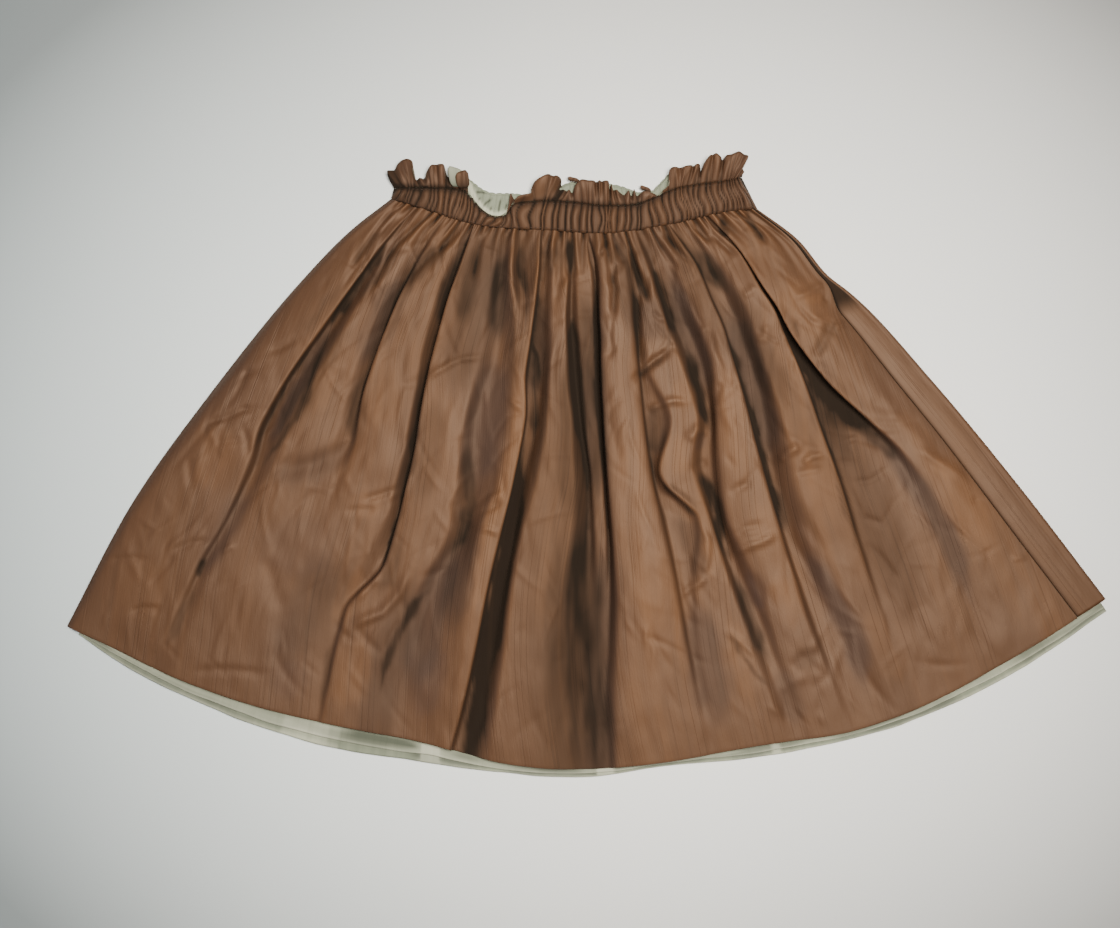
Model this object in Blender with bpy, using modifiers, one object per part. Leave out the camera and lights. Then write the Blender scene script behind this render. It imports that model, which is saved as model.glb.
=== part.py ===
"""Gathered leather skirt, laid flat with its front up.

An elasticated waist gathers a front and a back panel. A ruffled heading stands above the waist
casing, and a pale lining shows below the hem and inside the waist. The back panel lies on the
ground, wraps round the right-hand edge and meets the front panel at a side seam there.

Metres, +X to the right, +Y towards the waist, +Z up. The origin lies on the ground under the
middle of the skirt.

A point on the skirt is named by two shares: s runs across it, 0 at the left edge and 1 at the
right edge, and t runs down it, 0 at the casing and 1 at the hem.
"""

import bmesh
import bpy
import numpy as np

MM = 0.001
COLLECTION = "leather_skirt"
MIDDLE = (-2.0, -0.5)    # of the whole outline, in the millimetres of the tables below

# Cloth and layers, in millimetres
WALL = 1.0               # leather
LINING_WALL = 1.0
SEAM_GAP = 0.3           # between pieces that are sewn together
BACK_LINING_LEVEL = 1.3  # underside of each layer above the ground
FRONT_LINING_LEVEL = 2.6
STACK = 5.0              # top of the flat layers, and the thickness of the folded right edge
FRONT_CLEARANCE = 0.2    # added under the whole front panel
LINING_INSET = (9.0, 4.5)    # from the left and the right edge
LEFT_ROLL = 9.0          # width over which the front turns down to the back at the left edge
LEFT_RIM = 2.3           # height of the front's left edge
SEAM_SETTLE = 10.0       # width over which the front settles to the side seam
SIDE_SEAM = [            # t, share across
    (0.0, 0.985), (0.18, 0.985), (0.26, 0.970), (0.34, 0.966), (1.0, 0.966)]

# Outline: the left and right edges as t, x, y
LEFT_EDGE = [
    (0.0, -139, 185), (0.10, -166, 164), (0.25, -203, 126), (0.5, -266, 48), (0.75, -320, -28),
    (1.0, -365, -113)]
RIGHT_EDGE = [
    (0.0, 117, 178), (0.10, 145, 157), (0.20, 167, 131), (0.25, 180, 121), (0.5, 240, 57),
    (0.75, 301, -17), (1.0, 360, -94)]

# Outline: the casing's lower line as s, x, y
WAIST = [
    (0.0, -139, 185), (0.12, -105, 174), (0.25, -76, 163), (0.42, -24, 160), (0.58, 12, 160),
    (0.75, 56, 167), (0.9, 92, 175), (1.0, 117, 178)]

# Hem as s, x, y of the leather, and how far the front and the back lining reach below it
HEM = [
    (0.00, -365, -113, 0.0, 0.0), (0.05, -330, -129, 4.5, 8.0), (0.10, -295, -146, 6.0, 10.0),
    (0.20, -224, -171, 9.0, 14.0), (0.28, -166, -184, 11.0, 17.0), (0.35, -112, -194.5, 9.0, 14.0),
    (0.42, -60, -208, 5.0, 8.0), (0.50, 2, -212, 3.5, 6.5), (0.56, 48, -207.5, 2.0, 4.5),
    (0.65, 115, -196, 5.5, 9.0), (0.75, 191, -183.5, 3.0, 6.5), (0.80, 227.5, -170, 4.0, 8.0),
    (0.90, 297, -133, 6.5, 11.0), (1.00, 360, -94, 5.0, 8.0)]

# Large folds of the front panel. Each row is t, share across of the crest, its rise, and the
# width of its left and right flank
FOLDS = {
    "left_side": [
        (0.0, 0.020, 1.0, 6, 5), (0.1, 0.024, 2.5, 8, 8), (0.3, 0.045, 5.0, 18, 15),
        (0.5, 0.048, 6.0, 26, 19), (0.8, 0.048, 5.0, 34, 27), (1.0, 0.045, 3.5, 34, 34)],
    "left_lap": [
        (0.0, 0.075, 1.5, 6, 6), (0.1, 0.088, 3.0, 7, 9), (0.2, 0.112, 5.5, 10, 13),
        (0.35, 0.125, 8.0, 13, 18), (0.5, 0.135, 8.0, 19, 24), (0.7, 0.137, 8.0, 24, 44),
        (1.0, 0.140, 5.5, 36, 60)],
    "left_panel": [
        (0.0, 0.180, 1.5, 8, 8), (0.1, 0.196, 5.0, 13, 12), (0.2, 0.206, 8.5, 17, 14),
        (0.35, 0.217, 10, 17, 20), (0.5, 0.235, 9.0, 25, 22), (0.65, 0.232, 7.0, 46, 24),
        (1.0, 0.215, 5.0, 50, 26)],
    "left_middle": [
        (0.0, 0.262, 1.5, 6, 6), (0.1, 0.275, 5.0, 9, 12), (0.25, 0.290, 8.5, 13, 20),
        (0.5, 0.315, 10, 15, 18), (0.6, 0.310, 9.0, 14, 20), (0.7, 0.295, 8.0, 12, 24),
        (0.85, 0.282, 6.5, 16, 16), (1.0, 0.276, 4.5, 20, 12)],
    "hollow_lip": [
        (0.0, 0.335, 1.5, 5, 5), (0.1, 0.345, 6.5, 8, 6), (0.18, 0.362, 5.0, 8, 8),
        (0.27, 0.385, 0.0, 8, 8)],
    "narrow_ridge": [
        (0.0, 0.380, 1.5, 6, 4), (0.1, 0.385, 5.0, 8, 5), (0.2, 0.392, 8.0, 14, 5),
        (0.4, 0.400, 12.5, 26, 8), (0.6, 0.391, 13.5, 23, 10), (0.8, 0.376, 13, 38, 12),
        (1.0, 0.361, 8.0, 42, 14)],
    "centre_left": [
        (0.0, 0.430, 1.5, 6, 6), (0.1, 0.440, 6.5, 9, 10), (0.25, 0.448, 11, 10, 13),
        (0.5, 0.460, 14.5, 16, 20), (0.75, 0.453, 14.5, 19, 27), (1.0, 0.440, 8.0, 26, 26)],
    "sunk_ridge": [
        (0.0, 0.500, 1.0, 5, 5), (0.15, 0.512, 4.0, 8, 7), (0.35, 0.526, 6.0, 11, 8),
        (0.6, 0.525, 7.5, 13, 12), (0.75, 0.515, 5.0, 18, 18), (0.95, 0.505, 0.0, 20, 20)],
    "centre_roll": [
        (0.0, 0.562, 2.0, 5, 7), (0.1, 0.570, 10, 6, 10), (0.25, 0.577, 16, 8, 13),
        (0.5, 0.580, 18, 10, 18), (0.7, 0.580, 16, 19, 24), (1.0, 0.565, 8.5, 38, 36)],
    "peaked_fold": [
        (0.0, 0.630, 1.5, 5, 6), (0.15, 0.640, 6.0, 6, 9), (0.4, 0.650, 8.5, 13, 12),
        (0.5, 0.634, 9.5, 10, 16), (0.58, 0.650, 10.5, 10, 11), (0.72, 0.645, 10, 20, 13),
        (1.0, 0.636, 6.0, 36, 34)],
    "right_middle": [
        (0.0, 0.725, 1.5, 7, 6), (0.1, 0.735, 7.0, 14, 8), (0.25, 0.742, 11.5, 18, 10),
        (0.4, 0.736, 13.5, 20, 12), (0.6, 0.706, 14, 13, 24), (0.75, 0.718, 12, 18, 25),
        (0.86, 0.722, 8.0, 24, 26), (1.0, 0.720, 4.5, 28, 26)],
    "right_lap": [
        (0.0, 0.800, 1.5, 6, 6), (0.1, 0.818, 6.0, 9, 8), (0.2, 0.838, 10.5, 20, 9),
        (0.4, 0.825, 14.5, 26, 9), (0.6, 0.804, 14.5, 22, 10), (0.75, 0.787, 13.5, 18, 17),
        (1.0, 0.775, 7.5, 17, 30)],
    "right_panel": [
        (0.45, 0.862, 0.0, 20, 20), (0.6, 0.865, 5.0, 20, 23), (0.8, 0.856, 8.0, 28, 30),
        (1.0, 0.850, 5.0, 40, 40)],
    "side_flap": [
        (0.0, 0.900, 2.0, 5, 9), (0.1, 0.884, 9.0, 6, 26), (0.2, 0.893, 15, 7, 30),
        (0.35, 0.900, 18.5, 9, 32), (0.5, 0.922, 18, 10, 25), (0.65, 0.938, 15, 12, 20),
        (0.8, 0.934, 10, 20, 24), (1.0, 0.915, 5.5, 34, 38)],
}
FOLD_ROUNDNESS = 1.25    # exponent of a flank's curve, 1 for a parabola
FOLD_BLEND = 5.0         # exponent of the soft maximum that joins the folds

# Fine gathers below the casing
GATHERS = 30
GATHER_RISE = 1.3
GATHER_FADE = 0.10       # t at which they have sunk to a third
GATHER_ENDS = 0.05       # share of the width over which they sink at the two side edges
CASING_STEP = 1.5        # how far the panel's upper edge is lifted to the casing
CASING_STEP_FADE = 0.05

# Waist casing. Its upper line as s, x, y, with the dip that shows the lining behind it
CASING_TOP = [
    (0.0, -137, 192.5), (0.10, -112, 192.5), (0.15, -98, 192), (0.20, -87, 189), (0.235, -78, 178),
    (0.285, -66, 171), (0.33, -54, 179.5), (0.37, -38.5, 183), (0.43, -21, 183), (0.59, 15, 180),
    (0.655, 32, 181), (0.71, 45.5, 186), (0.755, 57, 191), (0.83, 76, 195), (0.9, 93, 197),
    (1.0, 106, 200)]
CASING_RIBS = 62
CASING_RIB_RISE = 1.2
CASING_LEVEL = 6.3       # top of the casing between its ribs, at its edges
CASING_CROWN = 1.4       # how much higher it is along its middle
CASING_WALL = 1.4        # between the ribs
CASING_END_LEVEL = 2.4   # underside of its ends, on the back casing
CASING_END_TURN = 7.0    # width over which its ends turn down

# Ruffle above the casing. Its upper edge as s, x, y
RUFFLE_TOP = [
    (0.0, -142, 203), (0.05, -130, 211), (0.075, -122.5, 207), (0.09, -118, 202), (0.12, -111, 207),
    (0.15, -104, 209), (0.185, -97, 206), (0.220, -86, 204), (0.245, -75.5, 181), (0.285, -66, 174.5),
    (0.32, -57.5, 183), (0.37, -43, 187.5), (0.40, -33, 201), (0.43, -22, 201), (0.445, -19, 193),
    (0.48, -10, 197), (0.56, 8, 197), (0.60, 16, 191.5), (0.67, 36, 188), (0.72, 47, 191),
    (0.755, 57, 205), (0.83, 76, 210), (0.86, 83, 214.5), (0.90, 92, 213), (0.95, 101, 216.5),
    (0.985, 110, 214), (1.0, 107, 202)]
RUFFLE_LEVEL = (6.9, 8.4)    # mean height where it leaves the casing, and at its free edge
RUFFLE_RISE = (0.6, 2.6)     # height of its waves at the same places, each way
RUFFLE_END_LEVEL = 4.2
RUFFLE_WALL = 1.4            # measured upright
RIBS_PER_WAVE = 2

# Back waist. Upper lines as s, x, y
BACK_CASING_TOP = [
    (0.0, -137, 190), (0.12, -105, 188), (0.25, -76, 182), (0.42, -24, 180), (0.58, 12, 179),
    (0.75, 56, 186), (1.0, 106, 198)]
BACK_RUFFLE_TOP = [
    (0.0, -136, 199), (0.2, -86, 197), (0.33, -55, 193), (0.40, -33, 196), (0.47, -12, 200),
    (0.55, 5, 197.5), (0.64, 26, 192.5), (0.70, 43, 194), (0.80, 68, 203), (0.9, 90, 205),
    (1.0, 104, 203)]
BACK_WAIST_WALL = 2.0    # casing with its elastic, and the doubled heading
BACK_RUFFLE_WAVES = 31
BACK_RUFFLE_SCALLOP = 0.8
HEADING_LEVEL = 2.3      # underside of the lining inside the back waist
HEADING_GATHERS = 31
HEADING_RISE = 0.35
HEADING_INSET = 1.2      # below the ruffle's edge
HEADING_SIDE_INSET = 0.03

# Sections down the panels and the linings, and points in a section
PANEL_ROWS = (0.0, 0.025, 0.06, 0.10, 0.15, 0.21, 0.28, 0.36, 0.44, 0.52, 0.60, 0.68, 0.76, 0.84, 0.92, 1.0)
POINTS_PER_GATHER = 3
MEASURING_STEPS = 1500
BACK_OVER = 3            # on the strip that shows on the front
BACK_TURN = 7            # round the right-hand edge
BACK_UNDER = 15          # on the ground
BACK_CASING_COLUMNS = 24
LINING_ROWS = 5
LINING_COLUMNS = 32
HEM_SHARE = 0.97         # the last stretch, which gives the direction below the hem

# Colour and roughness
LEATHER = (0.225, 0.122, 0.072), 0.5
LINING = (0.56, 0.60, 0.48), 0.8


def smooth(table, u):
    """Other columns of a table at u, on a smooth curve through its rows."""
    table = np.asarray(table, dtype=float)
    u = np.asarray(u, dtype=float)
    knots, values = table[:, 0], table[:, 1:]
    slopes = np.gradient(values, knots, axis=0)
    u = np.clip(u, knots[0], knots[-1])
    i = np.clip(np.searchsorted(knots, u, side="right") - 1, 0, len(knots) - 2)
    step = (knots[i + 1] - knots[i])[..., None]
    f = (u - knots[i])[..., None] / step
    start = (1 + 2 * f) * (1 - f) ** 2 * values[i] + f * (1 - f) ** 2 * step * slopes[i]
    end = f ** 2 * (3 - 2 * f) * values[i + 1] - f ** 2 * (1 - f) * step * slopes[i + 1]
    return start + end


def plan(s, t):
    """Place on the ground of share s across and share t down, filled in between the four edges."""
    s, t = np.broadcast_arrays(np.asarray(s, dtype=float), np.asarray(t, dtype=float))
    left, right = smooth(LEFT_EDGE, t), smooth(RIGHT_EDGE, t)
    top, bottom = smooth(WAIST, s), smooth(HEM, s)[..., :2]
    top_left, top_right = np.array(WAIST[0][1:3]), np.array(WAIST[-1][1:3])
    hem_left, hem_right = np.array(HEM[0][1:3]), np.array(HEM[-1][1:3])
    s, t = s[..., None], t[..., None]
    corners = (1 - t) * ((1 - s) * top_left + s * top_right) + t * ((1 - s) * hem_left + s * hem_right)
    return (1 - t) * top + t * bottom + (1 - s) * left + s * right - corners


def width_at(t):
    """Width of the skirt from edge to edge at share t down."""
    return np.linalg.norm(plan(1.0, t) - plan(0.0, t), axis=-1)


def ease(x):
    """Smooth step from 0 to 1."""
    x = np.clip(x, 0.0, 1.0)
    return x * x * (3 - 2 * x)


def fold_rise(s, t):
    """Rise of the front panel's folds: rounded ridges joined by a soft maximum."""
    total = 0.0
    for rows in FOLDS.values():
        crest, rise, left, right = np.moveaxis(smooth(rows, t), -1, 0)
        aside = (s - crest) * width_at(t)
        share = np.clip(np.abs(aside) / np.where(aside < 0, left, right), 0.0, 1.0)
        ridge = np.maximum(rise, 0.0) * (1 - share ** 2) ** FOLD_ROUNDNESS
        total = total + ridge ** FOLD_BLEND
    return total ** (1 / FOLD_BLEND)


def front_level(s, t):
    """Height of the front panel's upper face, turned down at the left edge, flat at the side seam."""
    width = width_at(t)
    lifted = STACK + CASING_STEP * np.exp(-t / CASING_STEP_FADE) + fold_rise(s, t)
    seam = smooth(SIDE_SEAM, t)[..., 0]
    lifted = STACK + (lifted - STACK) * ease((seam - s) * width / SEAM_SETTLE)
    roll = np.sin(np.clip(s * width / LEFT_ROLL, 0.0, 1.0) * np.pi / 2)
    return LEFT_RIM + (lifted - LEFT_RIM) * roll


def even_columns(t, count):
    """Shares across at which one section of the front panel is cut into equal lengths of cloth."""
    fine = np.linspace(0.0, smooth(SIDE_SEAM, t)[0], MEASURING_STEPS)
    points = np.column_stack([plan(fine, t), front_level(fine, np.full_like(fine, t))])
    along = np.concatenate([[0.0], np.cumsum(np.linalg.norm(np.diff(points, axis=0), axis=1))])
    return np.interp(np.linspace(0.0, along[-1], count + 1), along, fine)


def points(xy, z):
    """Grid of points, in metres, from places on the ground and heights in millimetres."""
    z = np.broadcast_to(z, xy.shape[:-1])
    return np.concatenate([xy - MIDDLE, z[..., None]], axis=-1) * MM


def grid_faces(rows, columns, start=0):
    """Four-cornered faces of a grid of points whose rows run down and whose columns run across."""
    index = np.arange(rows * columns).reshape(rows, columns) + start
    corners = (index[:-1, :-1], index[1:, :-1], index[1:, 1:], index[:-1, 1:])
    return np.stack([c.ravel() for c in corners], axis=1).tolist()


def material(name, finish):
    """Principled material with a finish's plain colour and roughness."""
    colour, roughness = finish
    made = bpy.data.materials.new(name)
    made.use_nodes = True
    shader = made.node_tree.nodes["Principled BSDF"]
    shader.inputs["Base Color"].default_value = (*colour, 1.0)
    shader.inputs["Roughness"].default_value = roughness
    shader.inputs["Metallic"].default_value = 0.0
    made.diffuse_color = (*colour, 1.0)
    return made


def add_piece(name, vertices, faces, finish):
    """One named piece in the skirt's collection, smooth shaded, with its own material."""
    mesh = bpy.data.meshes.new(name)
    mesh.from_pydata(vertices.tolist(), [], faces)
    mesh.shade_smooth()
    mesh.materials.append(material(name, finish))
    piece = bpy.data.objects.new(name, mesh)
    bpy.data.collections[COLLECTION].objects.link(piece)
    piece.parent = bpy.data.objects[COLLECTION]
    return piece


def add_sheet(name, grid, wall, finish):
    """Sheet of cloth: an open surface that faces outwards, thickened inwards."""
    rows, columns = grid.shape[:2]
    piece = add_piece(name, grid.reshape(-1, 3), grid_faces(rows, columns), finish)
    shell = piece.modifiers.new("Wall", "SOLIDIFY")
    shell.thickness = wall * MM
    shell.offset = -1.0
    return piece


def add_lofted_wall(name, outer, inner, finish):
    """Wall lofted between its outer and its inner grid of points."""
    rows, columns = outer.shape[:2]
    count = rows * columns
    index = np.arange(count).reshape(rows, columns)
    edge = np.concatenate([index[:, 0], index[-1, 1:], index[-2::-1, -1], index[0, -2:0:-1]])
    ahead = np.roll(edge, -1)
    sides = np.stack([edge, edge + count, ahead + count, ahead], axis=1).tolist()
    inside = [face[::-1] for face in grid_faces(rows, columns, start=count)]
    vertices = np.concatenate([outer.reshape(-1, 3), inner.reshape(-1, 3)])
    piece = add_piece(name, vertices, grid_faces(rows, columns) + inside + sides, finish)
    made = bmesh.new()
    made.from_mesh(piece.data)
    bmesh.ops.recalc_face_normals(made, faces=made.faces)
    made.to_mesh(piece.data)
    made.free()
    return piece


def front_panel():
    """Front panel with its large folds, and fine gathers that fade below the casing."""
    count = GATHERS * POINTS_PER_GATHER
    share = np.linspace(0.0, 1.0, count + 1)
    start = SEAM_GAP / (LEFT_EDGE[0][2] - LEFT_EDGE[-1][2])
    sections = []
    for t in np.maximum(PANEL_ROWS, start):
        s = even_columns(t, count)
        gathers = GATHER_RISE * np.exp(-t / GATHER_FADE) * np.cos(2 * np.pi * GATHERS * share)
        gathers = gathers * ease((1 - share) / GATHER_ENDS) * ease(share / GATHER_ENDS)
        level = front_level(s, np.full_like(s, t)) + gathers + FRONT_CLEARANCE
        sections.append(points(plan(s, t), level))
    return add_sheet("front_panel", np.array(sections), WALL, LEATHER)


def back_panel():
    """Back panel: flat on the ground, round the right-hand edge and back over to the side seam."""
    radius = STACK / 2
    turn = np.linspace(np.pi / 2, -np.pi / 2, BACK_TURN)
    start = SEAM_GAP / (LEFT_EDGE[0][2] - LEFT_EDGE[-1][2])
    sections = []
    for t in np.maximum(PANEL_ROWS, start):
        width = width_at(t)
        seam = smooth(SIDE_SEAM, t)[0] + SEAM_GAP / width
        straight = 1.0 - radius / width
        outward = plan(1.0, t) - plan(straight, t)
        outward /= np.linalg.norm(outward)
        over = points(plan(np.linspace(seam, straight, BACK_OVER + 1)[:-1], t), STACK)
        centre = plan(1.0, t) - radius * outward
        edge = points(centre + radius * np.cos(turn)[:, None] * outward, radius + radius * np.sin(turn))
        under = points(plan(np.linspace(straight, 0.0, BACK_UNDER + 1)[1:], t), 0.0)
        sections.append(np.concatenate([over, edge, under]))
    return add_sheet("back_panel", np.array(sections), WALL, LEATHER)


def lining(name, level, reach_column):
    """Lining panel between the leather panels, which reaches out below the hem."""
    start = 2 * SEAM_GAP / (LEFT_EDGE[0][2] - LEFT_EDGE[-1][2])
    sections = []
    for t in np.linspace(start, 1.0, LINING_ROWS + 1):
        ends = LINING_INSET[0] / width_at(t), 1.0 - LINING_INSET[1] / width_at(t)
        s = np.linspace(*ends, LINING_COLUMNS + 1)
        xy = plan(s, t)
        if t == 1.0:
            down = xy - plan(s, HEM_SHARE)
            down /= np.linalg.norm(down, axis=1)[:, None]
            xy = xy + down * smooth(HEM, s)[:, reach_column, None]
        sections.append(points(xy, level + LINING_WALL))
    return add_sheet(name, np.array(sections), LINING_WALL, LINING)


def between(low, high, fraction, low_gap=0.0, high_gap=0.0):
    """Places at a fraction of the way between two lines, which are first drawn in by a gap each."""
    away = high - low
    away = away / np.linalg.norm(away, axis=-1, keepdims=True)
    low, high = low + low_gap * away, high - high_gap * away
    return low + fraction * (high - low)


def end_turn(s):
    """Share, 0 at the two ends of the waist, by which the front casing has risen over the back."""
    length = np.linalg.norm(np.diff(smooth(WAIST, s), axis=0), axis=1).sum()
    return np.sin(np.clip(np.minimum(s, 1 - s) * length / CASING_END_TURN, 0, 1) * np.pi / 2)


def front_casing():
    """Front half of the waist casing, ribbed by its gathers, with its ends turned down."""
    s = np.linspace(0.0, 1.0, 2 * CASING_RIBS + 1)
    rib = np.where(np.arange(s.size) % 2 == 1, CASING_RIB_RISE, 0.0)
    turn = end_turn(s)
    outer, inner = [], []
    for fraction in (1.0, 0.67, 0.33, 0.0):
        xy = between(smooth(WAIST, s), smooth(CASING_TOP, s), fraction, low_gap=SEAM_GAP)
        crown = CASING_LEVEL + CASING_CROWN * np.sin(np.pi * fraction)
        under = CASING_END_LEVEL + (crown - CASING_WALL - CASING_END_LEVEL) * turn
        outer.append(points(xy, under + CASING_WALL + rib))
        inner.append(points(xy, under))
    return add_lofted_wall("front_casing", np.array(outer), np.array(inner), LEATHER)


def front_ruffle():
    """Ruffled heading above the front casing, waved most at its free edge."""
    s = np.linspace(0.0, 1.0, 2 * CASING_RIBS + 1)
    wave = np.cos(2 * np.pi * CASING_RIBS / RIBS_PER_WAVE * s)
    turn = end_turn(s)
    outer, inner = [], []
    for fraction in (1.0, 0.5, 0.0):
        level = np.interp(fraction, (0.0, 1.0), RUFFLE_LEVEL)
        rise = np.interp(fraction, (0.0, 1.0), RUFFLE_RISE)
        xy = between(smooth(CASING_TOP, s), smooth(RUFFLE_TOP, s), fraction, low_gap=2 * SEAM_GAP)
        upper = RUFFLE_END_LEVEL + (level - RUFFLE_END_LEVEL + rise * wave) * turn
        outer.append(points(xy, upper))
        inner.append(points(xy, upper - RUFFLE_WALL))
    return add_lofted_wall("front_ruffle", np.array(outer), np.array(inner), LEATHER)


def back_casing():
    """Back half of the waist casing, flat on the ground."""
    s = np.linspace(0.0, 1.0, BACK_CASING_COLUMNS + 1)
    low, high = smooth(WAIST, s), smooth(BACK_CASING_TOP, s)
    sections = [points(between(low, high, fraction, SEAM_GAP), BACK_WAIST_WALL) for fraction in (1.0, 0.0)]
    return add_sheet("back_casing", np.array(sections), BACK_WAIST_WALL, LEATHER)


def back_ruffle():
    """Heading above the back casing, doubled leather, with a scalloped free edge."""
    s = np.linspace(0.0, 1.0, 2 * BACK_RUFFLE_WAVES + 1)
    scallop = np.where(np.arange(s.size) % 2 == 1, BACK_RUFFLE_SCALLOP, 0.0)
    low, high = smooth(BACK_CASING_TOP, s), smooth(BACK_RUFFLE_TOP, s)
    edge = between(low, high, 1.0, high_gap=-scallop[:, None])
    root = between(low, high, 0.0, low_gap=2 * SEAM_GAP)
    sections = [points(edge, BACK_WAIST_WALL), points(root, BACK_WAIST_WALL)]
    return add_sheet("back_ruffle", np.array(sections), BACK_WAIST_WALL, LEATHER)


def back_lining_heading():
    """Lining gathered over the inside of the back waist, which shows in the casing's dip."""
    s = np.linspace(HEADING_SIDE_INSET, 1.0 - HEADING_SIDE_INSET, 2 * HEADING_GATHERS + 1)
    gathers = np.where(np.arange(s.size) % 2 == 1, HEADING_RISE, 0.0)
    low, high = smooth(WAIST, s), smooth(BACK_RUFFLE_TOP, s)
    lines = [between(low, high, fraction, SEAM_GAP, HEADING_INSET) for fraction in (1.0, 0.5, 0.0)]
    outer = [points(xy, HEADING_LEVEL + LINING_WALL + gathers) for xy in lines]
    inner = [points(xy, HEADING_LEVEL) for xy in lines]
    return add_lofted_wall("back_lining_heading", np.array(outer), np.array(inner), LINING)


def main():
    """Clear the scene and build the skirt piece by piece."""
    for thing in list(bpy.data.objects):
        bpy.data.objects.remove(thing, do_unlink=True)
    collection = bpy.data.collections.new(COLLECTION)
    bpy.context.scene.collection.children.link(collection)
    collection.objects.link(bpy.data.objects.new(COLLECTION, None))
    back_panel()
    lining("back_lining", BACK_LINING_LEVEL, 3)
    lining("front_lining", FRONT_LINING_LEVEL, 2)
    front_panel()
    back_casing()
    back_ruffle()
    back_lining_heading()
    front_casing()
    front_ruffle()


main()
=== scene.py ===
"""Gathered leather skirt, laid flat with its front up: cloth, waist, linings, stitching and studio.

Metres, +X to the right, +Y towards the waist, +Z up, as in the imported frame. The tables below are
in millimetres on the skirt's own table, whose middle MIDDLE lies at the frame's origin. A point on
a panel is named by two shares: s runs across it, 0 at the left edge and 1 at the right edge, and t
runs down it, 0 at the casing and 1 at the hem.
"""

import logging
from dataclasses import dataclass
from enum import Enum
from typing import Callable, Dict, List, Optional, Sequence, Tuple, Union

import bpy
import numpy as np
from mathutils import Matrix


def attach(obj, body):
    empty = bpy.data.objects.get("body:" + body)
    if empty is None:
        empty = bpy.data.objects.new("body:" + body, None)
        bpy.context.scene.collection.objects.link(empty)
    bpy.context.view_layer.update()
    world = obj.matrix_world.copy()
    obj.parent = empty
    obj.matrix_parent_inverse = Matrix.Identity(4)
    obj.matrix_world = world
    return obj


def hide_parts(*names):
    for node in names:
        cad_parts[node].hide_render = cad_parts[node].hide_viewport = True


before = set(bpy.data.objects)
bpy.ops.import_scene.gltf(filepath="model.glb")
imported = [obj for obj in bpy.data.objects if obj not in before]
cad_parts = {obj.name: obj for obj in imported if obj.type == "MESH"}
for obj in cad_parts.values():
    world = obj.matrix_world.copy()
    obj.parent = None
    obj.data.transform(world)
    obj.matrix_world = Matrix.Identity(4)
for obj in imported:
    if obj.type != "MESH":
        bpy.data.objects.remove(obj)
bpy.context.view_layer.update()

LOG = logging.getLogger("skirt")
MM = 0.001
MIDDLE = np.array((-2.0, -0.5))

STATIONS = np.linspace(0.0, 1.0, 11)
TONES = ("Warm", "Grey", "Dark")

Table = Sequence[Tuple[float, ...]]
Colour = Tuple[float, float, float]
Place = Tuple[float, float, float]
Pair = Tuple[float, float]
Surface = Tuple[np.ndarray, np.ndarray, np.ndarray]
Value = Union[bpy.types.NodeSocket, float, Sequence[float]]
Sockets = Union[bpy.types.NodeInputs, bpy.types.NodeOutputs]
Effect = Callable[["Nodes", Sockets], Dict[str, Value]]


def ease(x: np.ndarray) -> np.ndarray:
    """Smooth step: 3x^2 - 2x^3 with x held between 0 and 1."""
    x = np.clip(x, 0.0, 1.0)
    return x * x * (3 - 2 * x)


def curve(knots: np.ndarray, values: np.ndarray, slopes: np.ndarray, u: np.ndarray) -> np.ndarray:
    """Values at u on cubic pieces that have the given values and slopes at their knots.

    Args:
        knots: rising places of the knots.
        values: values whose last axis runs over the knots.
        slopes: slopes, laid out as the values.
        u: places at which the values are wanted.

    Returns:
        Values with the knots' axis replaced by that of u.
    """
    i = np.clip(np.searchsorted(knots, u, side="right") - 1, 0, len(knots) - 2)
    step = knots[i + 1] - knots[i]
    f = (u - knots[i]) / step
    start = (1 + 2 * f) * (1 - f) ** 2 * values[..., i] + f * (1 - f) ** 2 * step * slopes[..., i]
    end = f ** 2 * (3 - 2 * f) * values[..., i + 1] - f ** 2 * (1 - f) * step * slopes[..., i + 1]
    return start + end


def smooth(table: Table, u: np.ndarray) -> np.ndarray:
    """Other columns of a table at u, on cubic pieces whose slopes are the rows' own gradients.

    Args:
        table: rows whose first column is the knot and whose other columns are the values.
        u: places at which the values are wanted.

    Returns:
        The values, with one more axis than u.
    """
    knots, *values = np.asarray(table, dtype=float).T
    slopes = np.gradient(values, knots, axis=1)
    made = curve(knots, np.array(values), slopes, np.clip(u, knots[0], knots[-1]))
    return np.moveaxis(made, 0, -1)


def steady(knots: np.ndarray, values: np.ndarray, u: np.ndarray) -> np.ndarray:
    """Values at u along the last axis, on cubic pieces that never overshoot their knots.

    Each slope is the harmonic mean of the slopes beside it, and 0 where these differ in sign.

    Args:
        knots: rising places of the knots.
        values: values whose last axis runs over the knots.
        u: places at which the values are wanted.

    Returns:
        Values with the knots' axis replaced by that of u.
    """
    rise = np.diff(values, axis=-1) / np.diff(knots)
    before, after = rise[..., :-1], rise[..., 1:]
    same = before * after > 0
    mean = np.where(same, 2 * before * after / np.where(same, before + after, 1.0), 0.0)
    return curve(knots, values, np.concatenate([rise[..., :1], mean, rise[..., -1:]], axis=-1), u)


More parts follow.
